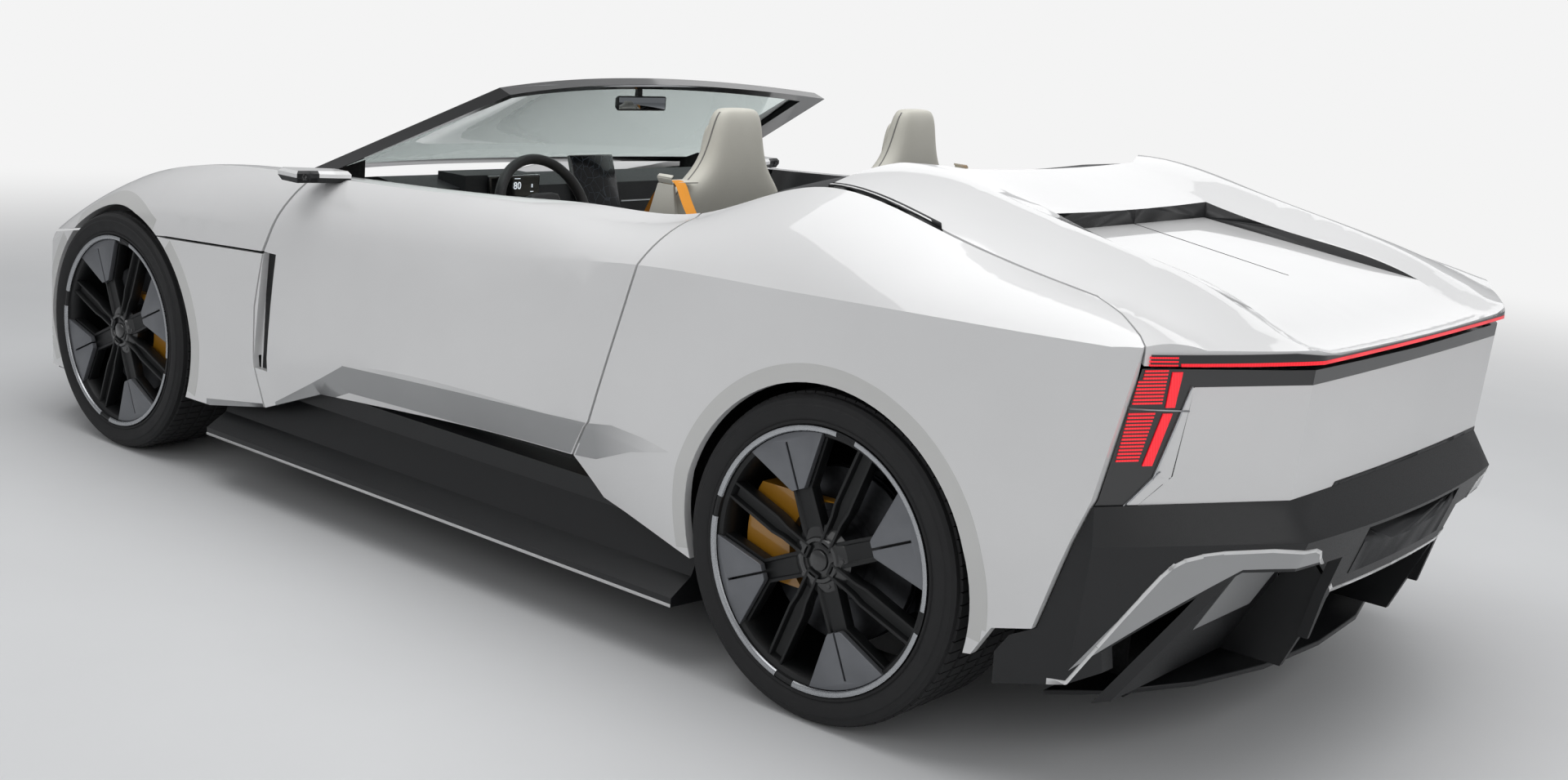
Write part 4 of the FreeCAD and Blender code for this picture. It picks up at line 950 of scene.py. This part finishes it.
# Behind the door the bevel runs out: its painted shade fades from grey into the white over a hand's width
fading_shade_paint, fade_tree, fade_bsdf = finish_named("fading_painted_shade", "A6A7A8", Roughness=0.38, Coat_Weight=0.5)
along = add_node(fade_tree, "ShaderNodeSeparateXYZ", None, {0: object_coords(fade_tree)})
fading = add_node(
    fade_tree, "ShaderNodeMapRange", {"From Min": -0.84, "From Max": -0.64}, {"Value": along.outputs["X"]}
)
toned(fade_tree, fade_bsdf, fading.outputs[0], "DADADA", "A0A1A2")
short_strips = [pressed(outline, "quarters", 0.9, 12, inward=True) for outline in QUARTER_BEVEL]
on_both_sides(short_strips, "quarter_bevels", fading_shade_paint, "car_body", 20)
# The front wings' bevels get the same grey, painted shade where they face down
wing_tips = joined([tip("wing_panels", WING_BEVEL, sign) for sign in (1, -1)])
finished(wing_tips, "wing_bevels", grey_and_shade_paint, "car_body", 4)

# %% Sill line, rear openings and gap
PIN = [(0.94, 0.149), (0.94, 0.1575), (-0.93, 0.1575), (-0.93, 0.149)]
pinstripe = covering("sills", PIN, Y, (0, 1, 0), 1.0, span=(0.97, 1.0), limit=0.8)
on_both_sides([pinstripe], "sill_pinstripe", white_paint, "car_body")
EDGE = [
    (0.948, 0.216), (0.9234, 0.2614), (0.8769, 0.344), (0.8233, 0.439), (0.798, 0.486), (0.783, 0.508),
    (0.76, 0.524), (0.73, 0.533), (0.6917, 0.538), (0.5977, 0.5405), (0.485, 0.531), (0.462, 0.522),
    (0.448, 0.505), (0.33, 0.42), (0.3075, 0.4035), (-0.001, 0.4035),
]
strip = [
    covering("rear_bumper", pane(a, b, 0.008), X, (-1, 0.3, 0), 1.8, span=(-2.26, -1.88), limit=0.35)
    for a, b in zip(EDGE, EDGE[1:])
]
on_both_sides(strip, "bumper_edge_line", white_paint, "car_body")
INSIDE = [
    [(0.9225, 0.2925), (0.8233, 0.439), (0.76, 0.4125), (0.87, 0.3315)],
    [(0.8233, 0.439), (0.783, 0.508), (0.7, 0.4565), (0.76, 0.4125)],
    [(0.783, 0.508), (0.73, 0.533), (0.6415, 0.499), (0.7, 0.4565)],
    [(0.73, 0.533), (0.5977, 0.5405), (0.5977, 0.499), (0.6415, 0.499)],
    [(0.5977, 0.5405), (0.485, 0.531), (0.485, 0.497), (0.5977, 0.499)],
    [(0.485, 0.531), (0.452, 0.51), (0.44, 0.496), (0.485, 0.497)],
    [(0.36, 0.476), (0.62, 0.48), (0.62, 0.34), (0.36, 0.34)],
]
insets = [pressed(outline, "rear_bumper", 0.9, 8) for outline in INSIDE]
on_both_sides(insets, "bumper_inner_panels", grey_and_shade_paint, "car_body")
TRAY = [(-1.8, 0.8), (-1.9, 0.68), (-1.99, 0.49), (-2.045, 0.26), (-2.062, 0.0)]
tray = pushed([(x, y, 0.166) for x, y in TRAY] + [(x, -y, 0.166) for x, y in TRAY[-2::-1]], (0, 0, 0.014))
choose_facing(tray, Z, -1)
bpy.ops.transform.resize(value=(1, 0.985, 1), center_override=(-1.8, 0, 0.166))
rounded(tray, 4, 3)
finished(tray, "diffuser_tray", satin_black, "car_body")
PLATE = [(-0.262, 0.434), (0.262, 0.434), (0.262, 0.541), (-0.262, 0.541)]
plate = covering("rear_bumper", PLATE, X, (-1, 0, 0), 1.5, span=(-2.23, -2.0), limit=0.8)
finished(plate, "blank_plate", cabin_trim, "car_body")
# A black strip laid on the fascia where its gap lies in shadow: a painted shadow
GAP = [(-0.6, 0.6325), (0.345, 0.6325), (0.335, 0.6415), (-0.6, 0.6415)]
shadow_gap = covering("rear_fascia", GAP, X, (-1, 0, 0), 1.2, limit=0.5)
finished(shadow_gap, "fascia_gap_shadow", satin_black, "car_body")

# %% Side vent
VENT = [(0.735, 0.38), (0.66, 0.38), (0.655, 0.73), (0.72, 0.73)]
for side, sign, _ in SIDES:
    back = covering("door_" + side, VENT, Y, (0, sign, 0), 0.6, span=reach(sign, 0.93, 0.945), limit=0.8)
    finished(back, "vent_back_" + side, satin_black, "door_" + side + "_body")

# %% [markdown]
# ## Seats
# Each seat is a one-piece shell wrapped in cream leather: a slim headrest that
# flares without a neck into broad shoulders. The shell is pulled up row by row
# from one rounded outline and then subdivided. In front of it sit two separate
# pads, which are inflated like the real foam under its cover, and sewn across.

# %% Lofting and padding
ROUND_BOX = [(1.0, 0.62), (0.72, 1.0), (-0.72, 1.0), (-1.0, 0.62)]
ROUND_BOX += [(-u, -v) for u, v in ROUND_BOX]


def lofted(rows, levels=2):
    # Rows of (x, y, z, half depth, half width), pulled up from the first outline
    x, y, z, deep, wide = rows[0]
    piece = drawn([(x + u * deep, y + v * wide, z) for u, v in ROUND_BOX])
    bpy.ops.mesh.edge_face_add()
    for row in rows[1:]:
        x1, y1, z1, deep1, wide1 = row
        pulled((x1 - x, y1 - y, z1 - z))
        bpy.ops.transform.resize(value=(deep1 / deep, wide1 / wide, 1), center_override=(x1, y1, z1))
        x, y, z, deep, wide = row
    faces_out()
    return finish_with(piece, "SUBSURF", levels=levels, render_levels=levels)


VOXEL, CAP, PRESSURE, CLOTH_STEPS = 7 * MM, 9 * MM, 4.0, 20


def puffed(piece):
    # Foam under its cover: the shape is remeshed and inflated, and no point moves past the cap
    finish_with(piece, "REMESH", mode="VOXEL", voxel_size=VOXEL)
    before = [v.co.copy() for v in piece.data.vertices]
    alone(piece)
    cloth = piece.modifiers.new("cloth", "CLOTH")
    cloth.settings.use_pressure = True
    cloth.settings.uniform_pressure_force = PRESSURE
    cloth.settings.effector_weights.gravity = 0
    for step in range(1, CLOTH_STEPS + 1):
        bpy.context.scene.frame_set(step)
    bpy.ops.object.modifier_apply(modifier=cloth.name)
    bpy.context.scene.frame_set(1)
    for vert, start in zip(piece.data.vertices, before):
        move = vert.co - start
        if move.length > CAP:
            vert.co = start + move.normalized() * CAP
    return finish_with(piece, "SUBSURF", levels=1, render_levels=1)


CHANNEL_WIDTH, CHANNEL_DEPTH = 9 * MM, 4.5 * MM


def sewn(piece, places, axis, inward):
    # Sewn channels: the cover is drawn in along lines across the pad
    for vert in piece.data.vertices:
        for place in places:
            off = abs(vert.co[axis] - place) / CHANNEL_WIDTH
            if off < 1:
                vert.co += Vector(inward) * CHANNEL_DEPTH * (1 - off) ** 2


# %% Seat shell
SEAT_Y = 0.392


def seat_loft(rows, levels=2):
    # Rows of (x, z, half depth, half width) over the middle of the seat
    return lofted([(x, SEAT_Y, z, deep, wide) for x, z, deep, wide in rows], levels)


SHELL_ROWS = [
    (-0.372, 0.3, 0.05, 0.205), (-0.402, 0.43, 0.052, 0.222), (-0.432, 0.7, 0.054, 0.236),
    (-0.462, 0.93, 0.052, 0.231), (-0.476, 1.005, 0.05, 0.214), (-0.484, 1.045, 0.048, 0.178),
    (-0.49, 1.085, 0.045, 0.13), (-0.494, 1.125, 0.041, 0.106), (-0.496, 1.175, 0.037, 0.092),
    (-0.497, 1.215, 0.033, 0.084), (-0.497, 1.238, 0.026, 0.072), (-0.497, 1.2465, 0.016, 0.055),
]
shell = seat_loft(SHELL_ROWS)
base = seat_loft([
    (-0.105, 0.291, 0.225, 0.19), (-0.105, 0.33, 0.238, 0.205),
    (-0.105, 0.4, 0.24, 0.215), (-0.112, 0.425, 0.232, 0.205),
])
shells = joined([shell, base])

# %% Pads
back_pad = seat_loft([
    (-0.335, 0.505, 0.032, 0.15), (-0.355, 0.56, 0.04, 0.172), (-0.378, 0.72, 0.042, 0.178),
    (-0.405, 0.9, 0.04, 0.172), (-0.425, 0.985, 0.032, 0.14), (-0.43, 1.005, 0.02, 0.11),
], levels=1)
cushion = seat_loft([
    (-0.11, 0.428, 0.215, 0.17), (-0.108, 0.445, 0.232, 0.192), (-0.108, 0.485, 0.232, 0.192),
    (-0.112, 0.505, 0.212, 0.17),
], levels=1)
head_pad = seat_loft([
    (-0.452, 1.085, 0.01, 0.085), (-0.452, 1.11, 0.016, 0.076),
    (-0.455, 1.18, 0.016, 0.068), (-0.46, 1.21, 0.01, 0.058),
])
puffed(back_pad)
puffed(cushion)
sewn(back_pad, [0.6 + 0.062 * n for n in range(6)], Z, (-1, 0, 0))
sewn(cushion, [-0.25 + 0.066 * n for n in range(5)], X, (0, 0, -1))
bolsters = []
for sign in (1, -1):
    side_y = SEAT_Y + sign * 0.192
    bolsters.append(lofted([
        (-0.345, side_y, 0.47, 0.045, 0.026), (-0.33, side_y, 0.55, 0.06, 0.034),
        (-0.352, side_y, 0.72, 0.066, 0.036), (-0.388, side_y, 0.88, 0.056, 0.032),
        (-0.425, side_y - sign * 0.012, 0.97, 0.034, 0.022),
    ]))
    bolsters.append(lofted([
        (-0.11, side_y, 0.4, 0.215, 0.022), (-0.11, side_y, 0.45, 0.225, 0.03),
        (-0.11, side_y, 0.515, 0.205, 0.03), (-0.11, side_y, 0.535, 0.17, 0.018),
    ]))
bolsters = joined(bolsters)
print("seat pads, faces:", len(back_pad.data.polygons), len(cushion.data.polygons))

# %% Seam and both seats
seam_loop = copied(shells, Matrix.Identity(4))
into_edit(seam_loop)
for z, way in ((1.236, 1), (0.62, -1)):
    pick_all()
    bpy.ops.mesh.bisect(plane_co=(0, 0, z), plane_no=(0, 0, way), clear_outer=True)
for way in (1, -1):
    pick_all()
    bpy.ops.mesh.bisect(plane_co=(-0.4822 + way * 0.002, 0, 1.03), plane_no=(way, 0, way * 0.1), clear_outer=True)
finish_with(seam_loop, "SOLIDIFY", thickness=0.8 * MM, offset=1)

leather_grey = hide("grey_piping_leather", "6E6D6B", "7C7B78")
PADS = (
    ("back_pad", back_pad, 0.8), ("cushion", cushion, 0.8),
    ("bolsters", bolsters, 0.9), ("head_pad", head_pad, 0.9),
)
for side, _, place in SIDES:
    seat = finished(copied(shells, place), "seat_shell_" + side, seat_hide, "car_body", 50)
    for name, pad, fill in PADS:
        soft = finished(copied(pad, place), "seat_" + name + "_" + side, seat_hide, "car_body", 60)
    finished(copied(seam_loop, place), "seat_seam_" + side, leather_grey, "car_body")
    if side == "left":
        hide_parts("seats")
thrown_away(shells, back_pad, cushion, bolsters, head_pad, seam_loop)

# %% [markdown]
# ## Belts
# An amber webbing runs from a guide plate on the shoulder of each seat: back and
# down behind it to the reel, and forward to the buckle. Webbing is 46 mm wide
# and 1.3 mm thick. It is woven, with ribs along it about 2 mm apart, drawn at
# 5 mm so that they show.

# %% Belts and guides
webbing, web_tree, web_bsdf = finish_named("woven_amber_webbing", "E89A0C", Roughness=0.6)
ribs = pattern(web_tree, WAVE, 5)
toned(web_tree, web_bsdf, ribs, "D07C00", "F2A20E")
bumped(web_tree, web_bsdf, ribs, 0.4, 0.4)

BELT_BACK = [
    (-0.497, 0.59, 1.0665), (-0.52, 0.598, 1.068), (-0.54, 0.606, 1.06), (-0.565, 0.622, 1.042),
    (-0.61, 0.652, 1.016), (-0.66, 0.668, 0.975), (-0.72, 0.675, 0.9),
]
BELT_FRONT = [
    (-0.497, 0.59, 1.0665), (-0.47, 0.586, 1.058), (-0.44, 0.588, 1.02), (-0.405, 0.594, 0.94),
    (-0.35, 0.606, 0.78), (-0.3, 0.618, 0.6), (-0.285, 0.626, 0.47), (-0.282, 0.628, 0.36),
]
ACROSS = (-0.004, 0.046, 0.0)
belts = joined([
    finish_with(strap(path, ACROSS, 1.3 * MM), "SUBSURF", levels=2, render_levels=2)
    for path in (BELT_BACK, BELT_FRONT)
])
GUIDE = [(-0.531, 0.555), (-0.479, 0.555), (-0.482, 0.648), (-0.53, 0.648)]
guide = pushed([(x, y, 1.0612) for x, y in GUIDE], (0, 0, 0.004))
choose_facing(guide, Y)
pulled((0.001, 0.006, 0.012))
pulled((0.0, -0.008, 0.006))
rounded(guide, 1.5)
WING = [(-0.48, 1.06), (-0.532, 1.06), (-0.56, 0.93), (-0.44, 0.93)]
wing = pushed([(x, 0.64, z) for x, z in WING], (0, 0.01, 0))
guide = joined([guide, rounded(wing, 3)])
for side, _, place in SIDES:
    finished(copied(belts, place), "belt_webbing_" + side, webbing, "car_body", 60)
    finished(copied(guide, place), "belt_guide_" + side, seat_hide, "car_body")
thrown_away(belts, guide)

# %% [markdown]
# ## Steering wheel and displays
# The wheel rim is a torus, pressed flat at the bottom as the real one is, with
# thicker grips at its sides. A padded centre, two side spokes and a bright arc
# below it complete it. It is modelled lying flat, then laid onto its column.

# %% Steering wheel
# Flat pieces have the driver's side up (+Z) and the wheel's top at +X
WHEEL_AT = shift(0.21, 0.375, 0.872) @ turn(22 - 90)
bpy.ops.object.select_all(action="DESELECT")
bpy.ops.mesh.primitive_torus_add(major_segments=64, minor_segments=16, major_radius=0.163, minor_radius=0.0148)
rim = bpy.context.object
bpy.ops.object.mode_set(mode="EDIT")
FLAT_FROM = -0.118
choose(rim, "VERT", lambda place, normal: place.x < FLAT_FROM)
bpy.ops.transform.resize(value=(0.42, 1, 1), center_override=(FLAT_FROM, 0, 0))
choose(rim, "VERT", lambda place, normal: abs(place.y) > 0.125 and place.x > -0.06)
bpy.ops.transform.resize(value=(1, 1, 1.12), center_override=(0, 0, 0))
right_half = [(0.055, -0.052), (0.02, -0.062), (-0.04, -0.048), (-0.055, -0.022)]
outline = [(0.055, 0.052), (0.06, 0.03), (0.06, -0.03)] + right_half + [(x, -y) for x, y in right_half[:0:-1]]
pad = pushed([(x, y, -0.01) for x, y in outline], (0, 0, 0.028))
choose_facing(pad, Z)
bpy.ops.mesh.inset(thickness=0.007, depth=0.005)
rounded(pad, 3, 3)
SPOKE = [(0.024, 0.05, -0.004), (0.018, 0.152, 0.0), (-0.012, 0.152, 0.0), (-0.026, 0.05, -0.004)]
spokes = [rounded(pushed([(x, sign * y, z) for x, y, z in SPOKE], (0, 0, 0.01)), 3) for sign in (1, -1)]
wheel = laid(joined([rim, pad] + spokes), WHEEL_AT)
bow = [math.radians(degrees) for degrees in range(-88, 89, 11)]
arc = strap([Vector((-0.026 - 0.076 * math.cos(a), 0.128 * math.sin(a), 0.006)) for a in bow], (-0.012, 0, 0), 6 * MM)
rounded(arc, 1.2)
boss = spun([(0.034, -0.03), (0.044, -0.03), (0.044, 0.03), (0.034, 0.03)], 32)
laid(boss, shift(0.0, 0.0, -0.028) @ turn(90, "X"))
black_hide = hide("black_wheel_leather", "101011", "1A1A1C")
finished(wheel, "steering_wheel_rim", black_hide, "steering_wheel_body", 50)
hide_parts("steering_wheel")
finished(laid(arc, WHEEL_AT), "steering_wheel_arc", bright_edge, "steering_wheel_body")
finished(laid(boss, WHEEL_AT), "steering_wheel_boss", cabin_trim, "steering_wheel_body")

# %% Driver display with a plain number
glow, glow_tree, glow_bsdf = finish_named("lit_display_marks", "DDE4EA", Roughness=0.4)
glow_bsdf.inputs["Emission Color"].default_value = hex_colour("E4ECF2")
glow_bsdf.inputs["Emission Strength"].default_value = 0.7
rough_between(glow_tree, glow_bsdf, pattern(glow_tree, NOISE, 8), 0.35, 0.5)

driver_display = slab(0.3925, (0.24, 0.436), (0.896, 0.962), (-0.012, 0, 0), 4, 3)
into_edit(driver_display)
choose_facing(driver_display, X, -1)
bpy.ops.mesh.inset(thickness=0.004, depth=-0.001)
finished(driver_display, "driver_display", display_glass, "car_body")
bpy.ops.object.text_add()
number = bpy.context.object
number.data.body = "80"
number.data.size = 0.03
number.data.extrude = 0.0004
number.data.align_x = "CENTER"
alone(number)
bpy.ops.object.convert(target="MESH")
number.data.transform(Matrix(((0, 0, 1, 0.379), (-1, 0, 0, 0.33), (0, 1, 0, 0.9215), (0, 0, 0, 1))))
number.data.flip_normals()
marks = [number] + [
    slab(0.3795, (y - wide / 2, y + wide / 2), (z, z + high), (-0.0006, 0, 0))
    for y, z, wide, high in (
        (0.33, 0.951, 0.022, 0.002), (0.272, 0.925, 0.004, 0.01), (0.398, 0.924, 0.006, 0.006),
        (0.272, 0.912, 0.012, 0.002), (0.398, 0.912, 0.016, 0.002),
    )
]
finished(joined(marks), "driver_display_marks", glow, "car_body")

# %% [markdown]
# ## Screens, mirrors and the windscreen
# A tall tablet stands in the middle of the dash; its glass shows a faint street
# grid. A slim bright line runs under the windscreen header. The door mirrors
# are camera arms: white above, black below, with a hexagonal lens at the inner
# end. The inner mirror is a rounded shell with a silvered pane.

# %% Centre screen
screen_map, map_tree, map_bsdf = finish_named("lit_map_glass", "0B0D10", Roughness=0.18, IOR=1.35, Coat_Weight=0.2)
blocks = {"Scale": 34.0, "feature": "DISTANCE_TO_EDGE"}
streets = add_node(map_tree, CELLS, blocks, {"Vector": object_coords(map_tree)})
narrow = {"From Min": 0.0, "From Max": 0.045, "To Min": 1.0, "To Max": 0.0}
street_lines = add_node(map_tree, "ShaderNodeMapRange", narrow, {"Value": streets.outputs["Distance"]})
toned(map_tree, map_bsdf, street_lines.outputs[0], "0A0C0F", "30363D")
SCREEN_AT = shift(0.3965, -0.01, 0.898) @ turn(18)
tablet = slab(0.007, (-0.092, 0.092), (-0.118, 0.118), (-0.014, 0, 0), 4, 3)
bracket = slab(0.004, (-0.03, 0.03), (-0.103, -0.057), (0.062, 0, 0), 4)
tablet = joined([tablet, bracket])
glass_face = slab(-0.0066, (-0.086, 0.086), (-0.112, 0.112), (-0.0009, 0, 0), 0.4)
for piece in (tablet, glass_face):
    laid(piece, SCREEN_AT)
finished(tablet, "centre_tablet", display_glass, "car_body")
finished(glass_face, "centre_tablet_pane", screen_map, "car_body")
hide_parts("centre_screen")

# %% Header line and inner mirror
HEADER_LINE = [
    (0.096, 0.64, 1.2375), (0.109, 0.56, 1.242), (0.118, 0.473, 1.2455), (0.1225, 0.383, 1.2462),
    (0.1255, 0.252, 1.2473), (0.1325, 0.112, 1.2488), (0.1335, -0.027, 1.25), (0.1338, -0.215, 1.25),
    (0.1262, -0.312, 1.2475), (0.1235, -0.425, 1.2468), (0.115, -0.536, 1.2438), (0.105, -0.602, 1.2405),
]
header_line = strap(HEADER_LINE, (-0.003, 0, -0.0042), 1.6 * MM)
finished(header_line, "header_bright_line", bright_edge, "car_body")

mirror_shell = slab(0.2135, (-0.105, 0.105), (1.1655, 1.2115), (0.026, 0, 0))
choose_facing(mirror_shell, X)
bpy.ops.transform.resize(value=(1, 0.86, 0.7), center_override=(0.24, 0, 1.188))
rounded(mirror_shell, 6, 3)
stem = pushed(
    [(0.224, -0.012, 1.19), (0.224, 0.012, 1.19), (0.224, 0.009, 1.2385), (0.224, -0.009, 1.2385)],
    (0.014, 0, 0)
)
mirror_shell = joined([mirror_shell, rounded(stem, 3)])
mirror_pane = slab(0.2142, (-0.098, 0.098), (1.171, 1.206), (-0.0012, 0, 0), 0.5)
silvered, silver_tree, silver_bsdf = finish_named("silvered_mirror_glass", "8E9296", Metallic=1.0)
rough_between(silver_tree, silver_bsdf, pattern(silver_tree, NOISE, 60), 0.02, 0.06)
finished(mirror_shell, "inner_mirror_shell", cabin_trim, "car_body")
finished(mirror_pane, "inner_mirror_pane", silvered, "car_body")
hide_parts("rear_view_mirror")

# %% Camera mirrors
LENS = [
    (0.0, -0.0035), (0.0048, -0.0028), (0.0052, 0.0), (0.0088, 0.0006), (0.0096, -0.001),
    (0.0108, -0.001), (0.0112, 0.004), (0.0, 0.004),
]
lens_ring = laid(spun(LENS, 6, closed=False), shift(0.4972, 0.985, 0.9585) @ turn(-84, "Z"))
BACK = [(0.44, 0.935), (0.53, 0.935), (0.53, 0.985), (0.44, 0.985)]
for side, sign, place in SIDES:
    body = "door_" + side + "_body"
    outline = [(x, sign * y) for x, y in ((0.44, 0.85), (0.62, 0.85), (0.62, 1.02), (0.44, 1.02))]
    under = covering("mirror_" + side, outline, Z, (0, 0, -1), 0.7, limit=0.25)
    back = covering("mirror_" + side, BACK, Y, (-1, 0, 0), 0.7, span=reach(sign, 0.945, 1.01), limit=0.6)
    finished(joined([under, back]), "mirror_underside_" + side, satin_black, body)
    finished(copied(lens_ring, place), "mirror_lens_" + side, gloss_black, body)
thrown_away(lens_ring)

# %% [markdown]
# ## Door cards and the dash
# Inside, each door is a moulded dark panel with a padded armrest and a pull.
# The dash has a slim bright line along the passenger's side. The bonnet, the
# nose and the lamps at the front aren't seen in the photograph: they get plain
# forms that fit the rest of the car, light bars in the lamps and a slatted inlet.

# %% Door cards
door_rest = lofted([
    (0.02, 0.782, 0.655, 0.22, 0.016), (0.02, 0.774, 0.675, 0.235, 0.026),
    (0.02, 0.774, 0.705, 0.235, 0.027), (0.02, 0.78, 0.718, 0.215, 0.018),
])
HANDLE = [(0.33, 0.7985, 0.8), (0.3, 0.772, 0.802), (0.2, 0.768, 0.806), (0.17, 0.7985, 0.808)]
door_pull = rounded(strap(HANDLE, (0, 0, 0.022), 9 * MM), 3, 3)
SPEAKER = [(0.0, 0.004), (0.062, 0.004), (0.07, 0.0), (0.074, 0.004), (0.08, 0.004), (0.082, -0.004), (0.0, -0.004)]
speaker = laid(spun(SPEAKER, 40, closed=False), shift(0.5, 0.7985, 0.5) @ turn(180, "Z"))
CARD = [(-0.8, 0.3), (0.8, 0.3), (0.8, 1.1), (-0.8, 1.1)]
for side, sign, place in SIDES:
    body = "door_" + side + "_body"
    card = covering("door_" + side, CARD, Y, (0, -sign, 0), 1.2, span=reach(sign, 0.79, 0.82), limit=0.8)
    finished(card, "door_card_" + side, cabin_trim, body)
    finished(copied(door_rest, place), "door_armrest_" + side, seat_hide, body, 60)
    pull = joined([copied(door_pull, place), copied(speaker, place)])
    finished(pull, "door_pull_" + side, satin_black, body)
thrown_away(door_rest, door_pull, speaker)
DASH = [(-0.66, 0.866), (-0.13, 0.866), (-0.13, 0.8705), (-0.66, 0.8705)]
dash_line = covering("dashboard", DASH, X, (-1, 0, 0), 1.4, span=(0.3, 0.5), limit=0.5)
finished(dash_line, "dash_bright_line", bright_edge, "car_body")
console_pad = lofted([
    (-0.3, 0.0, 0.6605, 0.17, 0.082), (-0.3, 0.0, 0.672, 0.185, 0.096),
    (-0.3, 0.0, 0.69, 0.18, 0.092), (-0.3, 0.0, 0.697, 0.16, 0.078),
])
finished(console_pad, "console_armrest", seat_hide, "car_body", 60)
CUP = [(0.034, 0.006), (0.04, 0.008), (0.042, 0.004), (0.041, -0.002), (0.035, -0.002), (0.033, 0.0)]
cup_rings = [laid(spun(CUP, 32), shift(0.02, y, 0.661) @ turn(90, "X")) for y in (-0.045, 0.045)]
finished(joined(cup_rings), "console_cup_rings", bright_edge, "car_body")

# %% Arch lips
# The lip is a flat band facing down and out; the shade on it is painted in as a greyer white than the body
arch_shade_paint = lacquered("painted_shade_white", "C9C9C7", "D0D0CE")


def arch_lip(panel, axle_x, start_deg, end_deg):
    # A flat band spun about the axle, then pressed onto the panel from outside
    profile = [(radius, LEFT_OF_CAR) for radius in (0.3875, 0.397, 0.407, 0.417, 0.427)]
    sweep_deg = end_deg - start_deg
    band = spun(profile, int(sweep_deg / 2), math.radians(sweep_deg), closed=False)
    leave_edit()
    middle = sum((v.co for v in band.data.vertices), Vector()) / len(band.data.vertices)
    now_deg = math.degrees(math.atan2(middle.z, middle.x))
    laid(band, shift(axle_x, 0, AXLE_Z) @ turn(now_deg - (start_deg + end_deg) / 2))
    return settled(band, panel, 0.7, inward=True)


for panel, end, start_deg, end_deg, body in (
    ("quarters", "rear", -11, 189, "car_body"), ("wing_panels", "front", 131, 197, "car_body"),
    ("bonnet", "front", 49, 119, "bonnet_lid"), ("nose_bumper", "front", -23, 37, "car_body"),
):
    lip_band = arch_lip(panel, AXLE_X[end], start_deg, end_deg)
    on_both_sides([lip_band], "arch_lip_" + panel, arch_shade_paint, body)

# %% Front lamps and inlet
slats = []
for n in range(5):
    z = 0.224 + 0.022 * n
    slats.append(slab(2.172, (-0.418, 0.418), (z, z + 0.006), (0.025, 0, 0.003), 1.5))
finished(joined(slats), "inlet_slats", satin_black, "car_body")
lamp_bars = [
    covering("headlamps", pane(a, b, 0.006), X, (1, 0.5, 0), 1.2, limit=0.5)
    for a, b in (((0.575, 0.512), (0.825, 0.562)), ((0.615, 0.538), (0.825, 0.582)))
]
on_both_sides(lamp_bars, "headlamp_light_bars", glow, "car_body")
